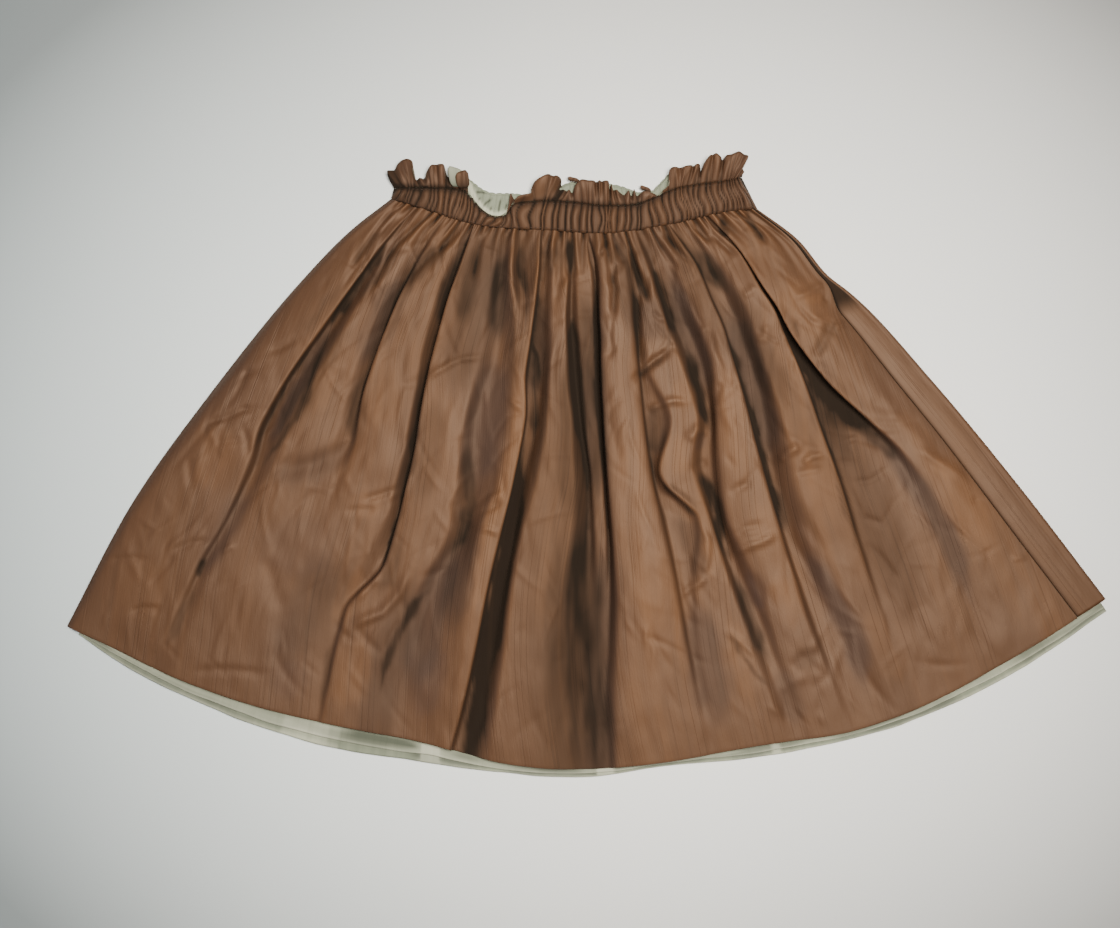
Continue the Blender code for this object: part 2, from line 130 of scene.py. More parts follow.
def noise(x: np.ndarray, y: np.ndarray, seed: int) -> np.ndarray:
    """Seeded smooth noise between about -1 and 1, one wave or so to each unit of x and y.

    A grid of random numbers is blended with the smooth step in both directions.

    Args:
        x: first coordinate, in waves.
        y: second coordinate, in waves.
        seed: which noise it is.

    Returns:
        The noise at each place.
    """
    size = 256
    lattice = np.random.default_rng(seed).uniform(-1.0, 1.0, (size, size))
    x0, y0 = np.floor(x).astype(int), np.floor(y).astype(int)
    fx, fy = ease(x - x0), ease(y - y0)
    corner = [lattice[(x0 + i) % size, (y0 + j) % size] for i in (0, 1) for j in (0, 1)]
    low = corner[0] * (1 - fy) + corner[1] * fy
    high = corner[2] * (1 - fy) + corner[3] * fy
    return low * (1 - fx) + high * fx


def waves(xy: np.ndarray, across: float, along: float, seed: int) -> np.ndarray:
    """Seeded noise at places in table millimetres, with waves of two lengths in millimetres."""
    return noise(xy[..., 0] / across, xy[..., 1] / along, seed)


def between(low: np.ndarray, high: np.ndarray, fraction: float, low_gap: float = 0.0,
            high_gap: float = 0.0) -> np.ndarray:
    """Places at a fraction of the way between two lines, which are first drawn in by a gap each.

    Args:
        low: the lower line.
        high: the upper line.
        fraction: share of the way up.
        low_gap: how far the lower line is drawn in.
        high_gap: how far the upper line is drawn in.

    Returns:
        The places.
    """
    away = high - low
    away = away / np.linalg.norm(away, axis=-1, keepdims=True)
    low, high = low + low_gap * away, high - high_gap * away
    return low + fraction * (high - low)


def in_frame(xy: np.ndarray, z: np.ndarray) -> np.ndarray:
    """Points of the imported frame, in metres, from table places and heights in millimetres."""
    z = np.broadcast_to(z, xy.shape[:-1])
    return np.concatenate([xy - MIDDLE, z[..., None]], axis=-1) * MM


class Slot(Enum):
    """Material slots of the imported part."""

    LEATHER = "leather"
    LINING = "lining"


def tie(made: bpy.types.Object, node: str = "") -> bpy.types.Object:
    """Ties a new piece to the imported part.

    Args:
        made: the piece, which rides the root.
        node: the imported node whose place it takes, or none.

    Returns:
        The piece.
    """
    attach(made, "root")
    if node:
        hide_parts(node)
    return made


class Cloth:
    """A sheet of cloth: a grid of points with a UV map "cloth" in metres of flat cloth."""

    @staticmethod
    def piece(name: str, grid: np.ndarray, flat: np.ndarray, materials: Sequence[bpy.types.Material],
              wall: float = 0.0, tone: Optional[np.ndarray] = None) -> bpy.types.Object:
        """One named piece from a grid whose rows run down and whose columns run to the right.

        Args:
            name: the piece's name.
            grid: points in metres, rows by columns by 3.
            flat: places on the flat cloth in metres, rows by columns by 2.
            materials: the outer cloth, and the inner one where it differs.
            wall: thickness in millimetres, or 0 for an open surface.
            tone: masks of dark, grey and warm places, rows by columns by 3, or none.

        Returns:
            The new object, linked to the scene.
        """
        rows, columns = grid.shape[:2]
        index = np.arange(rows * columns).reshape(rows, columns)
        corners = (index[:-1, :-1], index[1:, :-1], index[1:, 1:], index[:-1, 1:])
        faces = np.stack([c.ravel() for c in corners], axis=1)
        mesh = bpy.data.meshes.new(name)
        mesh.vertices.add(rows * columns)
        mesh.vertices.foreach_set("co", grid.reshape(-1).astype(np.float32))
        mesh.loops.add(faces.size)
        mesh.loops.foreach_set("vertex_index", faces.reshape(-1).astype(np.int32))
        mesh.polygons.add(len(faces))
        mesh.polygons.foreach_set("loop_start", np.arange(0, faces.size, 4, dtype=np.int32))
        mesh.polygons.foreach_set("loop_total", np.full(len(faces), 4, dtype=np.int32))
        mesh.update(calc_edges=True)
        layer = mesh.uv_layers.new(name="cloth")
        layer.data.foreach_set("uv", flat.reshape(-1, 2)[faces.reshape(-1)].reshape(-1).astype(np.float32))
        masks = np.ones((rows * columns, 4), dtype=np.float32)
        masks[:, :3] = 0.0 if tone is None else np.clip(tone, 0.0, 1.0).reshape(-1, 3)
        mesh.attributes.new("tone", "FLOAT_COLOR", "POINT").data.foreach_set("color", masks.reshape(-1))
        mesh.shade_smooth()
        for material in materials:
            mesh.materials.append(material)
        made = bpy.data.objects.new(name, mesh)
        bpy.context.scene.collection.objects.link(made)
        if wall > 0.0:
            shell = made.modifiers.new("Wall", "SOLIDIFY")
            shell.thickness = wall * MM
            shell.offset = -1.0
            shell.use_even_offset = False
            shell.material_offset = len(materials) - 1
        return made


@dataclass
class Cut:
    """Plan of the laid skirt: its four edges, and the side seam, as tables in millimetres."""

    left_edge: Table = (
        (0, -139, 185), (.1, -166, 164), (.25, -203, 126), (.5, -266, 48), (.75, -320, -28),
        (1, -365, -113))
    right_edge: Table = (
        (0, 117, 178), (.1, 145, 157), (.2, 167, 131), (.25, 180, 121), (.5, 240, 57), (.75, 301, -17),
        (1, 360, -94))
    waist: Table = (
        (0, -139, 185), (.12, -105, 174), (.18, -91.5, 169.4), (.25, -76, 166), (.42, -24, 162.4),
        (.58, 12, 160.6), (.75, 56, 167), (.9, 92, 175), (1, 117, 178))
    hem: Table = (
        (0, -365, -113, 0, 0), (.05, -330, -129, 4.5, 8), (.1, -295, -146, 6, 10), (.2, -224, -171, 9, 14),
        (.28, -166, -184, 11, 17), (.35, -112, -194.5, 9, 14), (.42, -60, -208, 5, 8),
        (.5, 2, -212, 3.5, 6.5), (.56, 48, -207.5, 2, 4.5), (.65, 115, -196, 5.5, 9),
        (.75, 191, -183.5, 3, 6.5), (.8, 227.5, -170, 4, 8), (.9, 297, -133, 6.5, 11), (1, 360, -94, 5, 8))

    def place(self, s: np.ndarray, t: np.ndarray) -> np.ndarray:
        """Place of shares s and t: the four edges blended, less the blend of the four corners.

        Args:
            s: share across.
            t: share down.

        Returns:
            Places on the ground in table millimetres.
        """
        s, t = np.broadcast_arrays(np.asarray(s, dtype=float), np.asarray(t, dtype=float))
        left, right = smooth(self.left_edge, t), smooth(self.right_edge, t)
        top, bottom = smooth(self.waist, s), smooth(self.hem, s)[..., :2]
        top_left, top_right = np.array(self.waist[0][1:3]), np.array(self.waist[-1][1:3])
        hem_left, hem_right = np.array(self.hem[0][1:3]), np.array(self.hem[-1][1:3])
        s, t = s[..., None], t[..., None]
        corners = (1 - t) * ((1 - s) * top_left + s * top_right) + t * ((1 - s) * hem_left + s * hem_right)
        return (1 - t) * top + t * bottom + (1 - s) * left + s * right - corners

    def width(self, t: np.ndarray) -> np.ndarray:
        """Width of the laid skirt from edge to edge at share t down."""
        return np.linalg.norm(self.place(1.0, t) - self.place(0.0, t), axis=-1)

    def seam(self, t: np.ndarray) -> np.ndarray:
        """Share across at which the front panel meets the back panel's strip."""
        return steady(STATIONS, LINES["side seam"].share, t)

    def seam_level(self, t: np.ndarray) -> np.ndarray:
        """Height of the side seam in millimetres."""
        return steady(STATIONS, LINES["side seam"].height, t)


@dataclass(frozen=True)
class Line:
    """A line down the front panel: its share across and its height at eleven stations of t."""

    share: np.ndarray
    height: np.ndarray

    @classmethod
    def row(cls, share: Sequence[float], height: Sequence[float]) -> "Line":
        """Line from its shares in thousandths and its heights in tenths of a millimetre."""
        return cls(np.array(share) / 1000, np.array(height) / 10)


LINES = {name: Line.row(*rows) for name, rows in {
    "left rim": ((0, 0, 0, 0, 0, 0, 0, 0, 0, 0, 0), (21, 21, 21, 21, 21, 21, 21, 21, 21, 21, 21)),
    "left turn": ((12, 10, 9, 8, 8, 7, 7, 7, 6, 6, 6), (46, 50, 54, 56, 56, 56, 56, 54, 52, 49, 45)),
    "left side begins": ((30, 26, 24, 22, 20, 19, 18, 18, 17, 16, 16),
     (60, 68, 76, 80, 82, 82, 80, 76, 70, 62, 54)),
    "left side": ((42, 45, 48, 48, 47, 46, 52, 54, 52, 50, 45),
     (64, 84, 100, 106, 106, 106, 102, 94, 86, 74, 59)),
    "left side edge": ((58, 68, 74.5, 75.5, 73.5, 76, 89, 94, 88, 86, 80),
     (64, 90, 116, 126, 122, 120, 110, 102, 96, 82, 62)),
    "left hollow": ((63, 74, 78, 80, 78, 82, 97.5, 99.5, 94.5, 92.5, 86),
     (55, 52, 47, 45, 47, 48, 56, 76, 68, 68, 54)),
    "left lap foot": ((66, 79, 85, 89, 88, 90, 103.5, 104.5, 98.5, 98.5, 94),
     (56, 56, 49, 48, 56, 62, 64, 80, 76, 70, 55)),
    "left lap begins": ((78, 94, 104, 108, 116, 120, 124, 119, 109, 108, 106),
     (66, 82, 96, 110, 120, 124, 114, 102, 94, 80, 62)),
    "left lap ends": ((108, 122, 130, 143, 155, 168, 165, 160, 155, 150, 150),
     (66, 86, 98, 112, 118, 120, 112, 104, 96, 82, 63)),
    "left panel hollow": ((128, 145, 158, 169.5, 181, 194, 185, 180, 175, 172, 170),
     (58, 60, 52, 48, 68, 94, 104, 102, 94, 81, 63)),
    "left panel edge": ((143, 156, 162, 172.5, 186, 207, 212, 205, 198, 192, 190),
     (66, 88, 124, 142, 134, 122, 114, 104, 92, 79, 63)),
    "left panel": ((185, 197, 203, 212, 224, 237, 242, 235, 222, 215, 212),
     (68, 98, 128, 140, 140, 132, 118, 102, 86, 74, 60)),
    "left panel ends": ((210, 219, 232, 246, 262, 271, 272, 258, 236, 230, 230),
     (66, 90, 120, 132, 134, 128, 112, 92, 74, 66, 56)),
    "left middle hollow": ((226, 242.5, 253.5, 262.5, 273.5, 283.5, 285.5, 281.5, 250, 247, 247),
     (56, 50, 48, 47, 48, 48, 46, 47, 56, 52, 49)),
    "left middle edge": ((233, 250, 257.5, 265.5, 276, 286.5, 288, 285, 256, 252.5, 252.5),
     (70, 112, 132, 134, 130, 128, 122, 112, 88, 80, 64)),
    "left middle": ((270, 285, 296, 302, 306, 313, 316, 308, 283, 278, 278),
     (70, 104, 132, 140, 138, 138, 132, 122, 98, 88, 68)),
    "left middle ends": ((300, 313, 325, 332, 333, 340, 343, 328, 306, 298, 298),
     (68, 96, 124, 136, 138, 136, 128, 116, 96, 84, 66)),
    "ridge slope": ((316, 330, 350, 360, 353, 362, 364, 345, 330, 322, 320),
     (60, 70, 76, 80, 82, 76, 66, 68, 68, 64, 56)),
    "ridge lip": ((330, 346.5, 376, 389, 396, 397, 382, 376, 371, 364, 358),
     (76, 116, 128, 144, 160, 166, 168, 162, 152, 132, 96)),
    "ridge hollow": ((345, 364, 388, 397, 406, 406, 394, 387, 381, 373, 365),
     (52, 48, 126, 152, 172, 178, 179, 174, 164, 142, 104)),
    "ridge edge": ((382, 396.5, 405.5, 406.5, 418, 414, 405, 396, 389, 380, 369),
     (76, 122, 144, 152, 174, 180, 180, 174, 162, 140, 104)),
    "ridge foot": ((389, 403, 409.5, 410, 420, 415.5, 407.5, 399, 392.5, 384, 374),
     (56, 56, 52, 48, 48, 45, 43, 43, 43, 44, 46)),
    "centre left foot": ((398, 414, 424, 431, 434, 425, 419, 411.5, 405, 398, 388),
     (58, 64, 68, 66, 64, 52, 43, 43, 43, 44, 46)),
    "centre left begins": ((415, 431, 443, 449, 452, 446, 432, 424, 420, 415, 412),
     (70, 108, 130, 144, 160, 164, 152, 142, 134, 118, 88)),
    "centre left ends": ((440, 461, 467, 473, 487, 491, 484, 470, 459, 453, 455),
     (70, 114, 140, 154, 164, 168, 162, 148, 136, 120, 90)),
    "sunk ridge foot": ((468, 473, 481, 490, 502, 513, 511, 506, 498, 494, 494),
     (60, 56, 45, 44, 44, 45, 46, 50, 56, 58, 52)),
    "sunk ridge begins": ((480, 488, 497, 503, 510, 519, 520, 518, 512, 505, 504),
     (66, 80, 88, 90, 90, 92, 88, 70, 62, 58, 52)),
    "sunk ridge ends": ((505, 519, 525, 525, 528, 532, 532, 526, 520, 512, 511),
     (66, 82, 92, 94, 94, 96, 92, 76, 64, 58, 52)),
    "roll foot": ((518, 532, 534.5, 531.5, 534, 536.5, 536, 531, 524, 516, 514),
     (58, 47, 45, 45, 45, 46, 56, 64, 62, 58, 52)),
    "roll left edge": ((527, 542.5, 541.5, 536.5, 538, 540, 541, 540, 534, 527, 524),
     (74, 124, 164, 174, 178, 178, 170, 156, 134, 112, 84)),
    "roll": ((560, 571, 573, 568, 568, 570, 573, 573, 569, 565, 565),
     (80, 138, 186, 200, 204, 204, 194, 178, 154, 128, 92)),
    "roll right edge": ((592, 601, 604, 598.5, 597, 597.5, 602, 604, 604, 604, 605),
     (74, 124, 162, 174, 176, 174, 164, 148, 132, 114, 86)),
    "peak hollow": ((600, 620, 614, 604, 602, 602.5, 609, 610, 609, 609, 611),
     (60, 86, 90, 84, 72, 68, 86, 94, 102, 98, 78)),
    "peak foot": ((607, 628, 620, 611, 628, 606.5, 637, 622, 615, 614, 616),
     (62, 90, 96, 98, 92, 94, 96, 106, 106, 100, 79)),
    "peak edge": ((615, 641, 630, 620, 642, 613, 650, 634, 622, 620, 622),
     (70, 104, 110, 116, 134, 146, 138, 130, 116, 106, 82)),
    "peak ends": ((648, 655, 664, 668, 674, 652, 660.5, 663, 666, 669, 672),
     (70, 104, 116, 128, 136, 138, 132, 126, 116, 104, 80)),
    "peak drop": ((660, 671, 681, 686, 689, 668, 666, 671, 678, 683, 688),
     (58, 60, 50, 47, 48, 60, 46, 52, 64, 74, 68)),
    "right middle foot": ((671, 686, 699, 703, 697, 680, 672, 678, 686, 690, 695),
     (58, 66, 56, 50, 50, 66, 49, 58, 68, 74, 68)),
    "right middle begins": ((700, 718, 722.5, 721, 705, 690, 682, 692, 697, 700, 706),
     (68, 104, 130, 144, 144, 140, 138, 124, 108, 92, 72)),
    "right middle": ((720, 738, 742, 737, 727, 717, 710, 713, 714, 717, 721),
     (74, 116, 148, 162, 166, 166, 160, 142, 120, 98, 74)),
    "right middle edge": ((742, 755.5, 761.5, 752.5, 747, 741, 736, 733, 731, 732, 736),
     (70, 112, 142, 154, 158, 158, 150, 132, 112, 92, 70)),
    "right lap hollow": ((750, 762, 768, 758.5, 752.5, 746.5, 741.5, 739, 739, 742, 745),
     (58, 58, 54, 50, 48, 45, 44, 49, 64, 68, 58)),
    "right lap foot": ((770, 786, 791, 780, 773, 758, 751, 750, 754, 760, 762),
     (58, 62, 58, 54, 52, 50, 54, 58, 60, 60, 54)),
    "right lap begins": ((790, 813, 820, 804, 795, 787, 778, 781, 784, 785, 786),
     (68, 98, 134, 150, 154, 152, 144, 130, 116, 100, 78)),
    "right lap edge": ((832, 858, 861, 847, 838.5, 829, 820, 810, 803, 799, 797),
     (68, 102, 148, 160, 162, 158, 148, 132, 112, 96, 78)),
    "right panel foot": ((850, 862, 865, 852, 844, 835, 827, 818, 812, 810, 810),
     (60, 60, 48, 45, 46, 68, 84, 88, 90, 86, 74)),
    "right panel": ((853, 863.2, 866.2, 854.5, 852, 856, 860, 860, 858, 855, 850),
     (60, 60, 47, 45, 49, 90, 102, 106, 104, 96, 78)),
    "right panel ends": ((855, 864.4, 867.4, 857, 860, 874, 887, 891, 888, 880, 872),
     (60, 60, 46, 45, 48, 72, 90, 96, 94, 88, 74)),
    "flap foot": ((857, 865.5, 869, 860, 868, 887, 898.5, 896.5, 893, 885, 877),
     (60, 60, 46, 45, 47, 58, 80, 90, 90, 85, 73)),
    "flap edge": ((861, 862, 867.5, 858, 867.5, 890, 910.5, 916, 911, 900, 889),
     (72, 104, 148, 160, 154, 138, 120, 114, 104, 92, 76)),
    "flap": ((905, 902, 908, 902, 908, 919, 930, 934, 932, 926, 920),
     (74, 106, 134, 142, 138, 126, 116, 108, 100, 89, 74)),
    "flap ends": ((950, 950, 952, 930, 934, 940, 946, 948, 949, 947, 947),
     (70, 86, 92, 108, 106, 98, 92, 88, 84, 78, 68)),
    "side seam": ((985, 985, 984, 954, 954.5, 956.5, 959, 960.5, 962, 964.5, 967),
     (54, 60, 60, 66, 68, 68, 66, 66, 64, 62, 58)),
}.items()}


def stroke(nodes: np.ndarray, xy: np.ndarray, left: float, right: float, blunt: float,
           taper: float = 0.22, point: float = 0.0) -> Tuple[np.ndarray, np.ndarray]:
    """Where a stroke along a path lies, and its strength exp(-(distance / half width)^2) there.

    The half width is the left or the right one by the side of the path, seen along it. Over the
    taper at both ends the strength falls to the blunt share, and the half width by the point share.

    Args:
        nodes: corners of the path in table millimetres.
        xy: places in table millimetres.
        left: half width left of the path in millimetres.
        right: half width right of the path in millimetres.
        blunt: share of the strength left at the ends.
        taper: share of the length over which each end fades.
        point: share of the half width that is lost at the ends.

    Returns:
        Mask of the places near the path, and the strength at those places.
    """
    nodes = np.asarray(nodes, dtype=float)
    steps = np.diff(nodes, axis=0)
    lengths = np.linalg.norm(steps, axis=1)
    run = np.concatenate([[0.0], np.cumsum(lengths)])
    reach = 2.6 * max(left, right)
    low, high = nodes.min(axis=0) - reach, nodes.max(axis=0) + reach
    near = np.all((xy > low) & (xy < high), axis=-1)
    places = xy[near]
    best = np.full(len(places), np.inf)
    side = np.ones(len(places))
    along = np.zeros(len(places))
    for start, step, length, before in zip(nodes, steps, lengths, run):
        away = places - start
        share = np.clip((away @ step) / length ** 2, 0.0, 1.0)
        gap = away - share[:, None] * step
        distance = np.linalg.norm(gap, axis=1)
        closer = distance < best
        best = np.where(closer, distance, best)
        side = np.where(closer, np.sign(step[0] * away[:, 1] - step[1] * away[:, 0]), side)
        along = np.where(closer, before + share * length, along)
    share = along / run[-1]
    fade = ease(share / taper) * ease((1 - share) / taper)
    half = np.where(side > 0, left, right) * (1 - point * (1 - fade))
    return near, (blunt + (1 - blunt) * fade) * np.exp(-(best / half) ** 2)


@dataclass(frozen=True)
class Crease:
    """A listed crease: its rise and half widths in millimetres, and its path as s and t."""

    rise: float
    left: float
    right: float
    path: np.ndarray

    def add_to(self, level: np.ndarray, xy: np.ndarray, cut: Cut) -> None:
        """Adds the crease to the heights at the places xy."""
        near, strength = stroke(cut.place(*np.transpose(self.path)), xy, self.left, self.right, 0.2)
        level[near] += self.rise * strength


@dataclass(frozen=True)
class PaintedShading:
    """A place of painted shade and painted light: its half width, how dark, grey and warm it is, and its
    path.
    """

    half: float
    dark: float
    grey: float
    warm: float
    path: np.ndarray

    def add_to(self, tone: np.ndarray, xy: np.ndarray, cut: Cut) -> None:
        """Adds the painted shade and light to the masks of tone at the places xy. Its path may go on past the
        hem.

        Args:
            tone: masks of dark, grey and warm places.
            xy: places in table millimetres.
            cut: plan of the skirt.
        """
        s, t = np.transpose(self.path)
        inside = np.clip(t, 0.0, 1.0)
        onward = 10 * (cut.place(s, 1.0) - cut.place(s, 0.9)) * (t - inside)[:, None]
        path = cut.place(s, inside) + onward
        near, strength = stroke(path, xy, self.half, self.half, 0.0, taper=0.34, point=0.6)
        tone[near] += ease(1.12 * strength)[:, None] * np.array((self.dark, self.grey, self.warm))


def trail(path: Sequence[float]) -> np.ndarray:
    """Path of s and t, which are given by turns in thousandths."""
    return np.reshape(path, (-1, 2)) / 1000


# Each row holds the rise, the left and right half width, and the path.
CREASES = tuple(Crease(*row[:3], trail(row[3:])) for row in (
    # Left side
    (-1.9, 2.4, 1.8, 20, 0, 30, 40, 38, 80, 46, 120, 54, 190),
    (-.8, 1.5, 1.5, 40, 10, 47, 60, 52, 100),
    (-2.2, 2.2, 2, 86, 50, 90, 100, 96, 140, 102, 180, 107, 230),
    (-1.4, 2.2, 2.2, 108, 0, 120, 60, 130, 120),
    (-2.4, 2.6, 3.2, 203, 0, 195, 30, 185, 65, 172, 100, 162, 140, 157, 190),
    (-1.8, 2.2, 2.2, 262, 10, 270, 50, 280, 100, 286, 140),
    (-1, 3, 2.4, 31, 390, 45, 370, 56, 350),
    (-1.3, 2.6, 2.2, 20, 550, 35, 530, 50, 500, 62, 495),
    (-1.1, 2.4, 2.2, 60, 530, 74, 550, 86, 580),
    (-1, 3.4, 3, 24, 620, 38, 655, 50, 680),
    (-.9, 2.6, 2.6, 28, 520, 22, 580, 18, 660),
    (-1, 2.2, 2.2, 60, 800, 76, 768, 92, 750),
    (-1.4, 2, 2, 48, 930, 58, 912, 73, 900),
    (-.9, 1.8, 1.8, 8, 860, 26, 840, 42, 830),
    (-.9, 1.8, 1.8, 54, 870, 62, 830, 64, 800),
    (-.8, 2.4, 2.4, 20, 420, 28, 460, 30, 520),
    (1, 1.8, 1.8, 108, 762, 113, 748, 118, 742),
    (-2.2, 7, 7, 210, 455, 192, 510, 165, 545, 140, 568, 118, 585),
    (-1.4, 12, 12, 250, 720, 225, 770, 200, 840, 190, 900),
    (-.7, 6, 6, 150, 740, 170, 780, 190, 830),
    (-.9, 3, 3, 120, 980, 150, 955, 190, 940),
    # Left middle and narrow ridge
    (1.5, 2.4, 1.8, 271, 352, 281, 334, 295, 316, 312, 303, 340, 292),
    (-1.2, 2.2, 1.8, 240, 592, 260, 575, 280, 556),
    (-.9, 3.5, 3.5, 236, 372, 256, 358, 268, 350),
    (-.7, 2.4, 2.4, 220, 620, 240, 610, 262, 605),
    (2.4, 3.2, 4.2, 312, 700, 306, 750, 292, 790, 275, 808, 260, 830),
    (1.8, 3, 2.4, 284, 690, 276, 735, 262, 780),
    (-1, 3, 2.2, 325, 715, 340, 702, 356, 690),
    (-1.2, 2, 3, 300, 860, 303, 830, 310, 795),
    (-.8, 1.6, 1.6, 328, 840, 331, 790, 336, 740),
    (-1.4, 3, 3, 345, 560, 352, 600, 372, 610),
    (-1, 3, 3, 336, 430, 348, 480, 352, 530),
    (1.2, 1.8, 1.8, 390, 362, 400, 372, 412, 374),
    (-.9, 1.6, 1.6, 392, 392, 402, 388, 412, 386),
    (-1.4, 1.8, 1.6, 378, 575, 389, 566, 402, 548),
    (1.3, 1.6, 1.6, 380, 606, 390, 602, 402, 606),
    (.9, 1.6, 1.6, 384, 550, 394, 540, 404, 530),
    # Middle, near the casing
    (-1.8, 2, 2.4, 408, 0, 404, 40, 398, 70),
    (-1.6, 1.8, 1.8, 424, 10, 430, 60, 428, 90),
    (-2.6, 2.2, 2, 456, 30, 460, 80, 465, 110),
    (-1.4, 1.6, 1.6, 470, 0, 474, 50, 480, 100),
    (-1.2, 1.8, 1.8, 495, 0, 497, 50, 500, 110),
    (-2, 2.2, 2, 518, 0, 524, 50, 528, 80),
    (-1.8, 1.8, 1.8, 548, 55, 560, 38, 576, 15),
    (-2.8, 2.4, 2.2, 573, 90, 576, 130, 568, 185),
    (-1.4, 1.6, 1.6, 585, 70, 578, 100),
    (-2.2, 2, 1.8, 598, 20, 601, 55, 604, 80),
    (-3.4, 2.4, 2, 628, 30, 629, 90, 637, 130, 644, 168),
    (-2.8, 1.8, 2.4, 626, 135, 619, 180, 611, 230, 603, 290),
    (-2.6, 2.2, 2.4, 664, 80, 667, 130, 675, 185, 670, 240),
    (-1.2, 2.2, 1.8, 645, 180, 656, 200, 670, 203),
    (-3, 2.2, 3, 585, 326, 603, 309, 622, 292, 642, 280, 662, 266),
    (1.8, 2.4, 2.4, 606, 384, 622, 376, 645, 371, 668, 378),
    (2.2, 4, 3.4, 655, 452, 672, 432, 692, 440),
    (-1.4, 3, 3, 652, 505, 664, 498, 676, 490),
    (-.9, 2.2, 2.2, 545, 275, 555, 262, 566, 250),
    (-1.2, 4.5, 4.5, 540, 320, 550, 400, 556, 480),
    (1.6, 2.6, 2.2, 608, 725, 625, 712, 642, 700),
    (1.6, 2.4, 3, 655, 615, 648, 660, 640, 695),
    (1.2, 2, 1.6, 612, 520, 630, 550, 650, 585),
    (-.7, 1.8, 1.8, 560, 780, 582, 800, 604, 828, 625, 850),
    (.8, 2, 2, 645, 795, 660, 820, 672, 850),
    # Right middle
    (-2.2, 2, 2.2, 718, 5, 728, 40, 738, 75, 746, 100),
    (-1.4, 2, 2, 700, 30, 706, 70, 716, 110),
    (1, 2.4, 2.4, 712, 250, 722, 240, 735, 236),
    (-1.6, 3, 3, 700, 395, 712, 372, 724, 350),
    (1.8, 2.4, 2.8, 676, 668, 692, 656, 712, 650, 730, 640),
    (-1, 2.4, 2.4, 684, 632, 700, 622, 720, 618),
    (-1, 2.6, 2.6, 690, 560, 702, 548, 722, 545),
    (-1, 3.6, 4.6, 700, 880, 714, 862, 736, 856),
    (.7, 3.4, 3.4, 682, 915, 696, 900, 716, 895),
    (-.8, 3, 3, 688, 700, 694, 740, 692, 780),
    # Right lap
    (-2.2, 2, 2.2, 800, 5, 810, 30, 822, 62),
    (-1.6, 2, 2.2, 828, 30, 838, 70, 848, 105),
    (2.4, 3.4, 3, 764, 520, 778, 508, 796, 502),
    (1.8, 2.2, 2.2, 790, 536, 804, 528, 820, 534),
    (-1.2, 2.2, 2.2, 778, 548, 796, 552, 812, 556),
    (1.2, 3, 3, 800, 285, 816, 290, 832, 262),
    (.9, 3, 2.6, 822, 190, 842, 184, 856, 175),
    (1.4, 4, 5, 756, 630, 764, 700, 762, 780),
    # Flap
    (-2.6, 2.4, 2.4, 956, 5, 944, 40, 934, 75, 922, 105),
    (-1.8, 2.2, 2.2, 900, 0, 882, 22, 866, 46),
    (-1, 2.4, 2, 925, 10, 915, 40, 908, 60),
    (-1.4, 2.4, 2.4, 984, 20, 980, 80),
    (-1.5, 3.4, 3, 868, 362, 890, 346, 912, 324, 936, 300),
    (1.4, 2.6, 2.6, 905, 228, 935, 226, 965, 216, 984, 200),
    (-1.5, 2.4, 2.4, 945, 262, 965, 242, 983, 218),
    (1, 2.4, 2.4, 922, 325, 936, 318, 950, 318),
    (1.2, 3.4, 3.4, 922, 590, 938, 636, 956, 690),
    (-.7, 4, 4, 904, 480, 918, 500, 930, 520),
    (.9, 1.6, 1.6, 945, 850, 957, 858, 963.5, 852),
    (-.9, 1.6, 1.6, 944, 730, 952, 726, 959, 738),
    # Panel beneath the flap
    (-1, 2.4, 2.4, 846, 470, 864, 496, 884, 530),
    (-.9, 2.2, 2.2, 852, 520, 872, 540, 892, 568),
    (-1, 2.2, 2.2, 836, 600, 856, 612, 884, 606),
    (-.9, 2.2, 2.2, 828, 660, 846, 690, 870, 665),
    (-1, 2.4, 2.4, 818, 700, 828, 740, 834, 790),
    (-.7, 2.4, 2.4, 836, 820, 834, 870, 832, 920),
))
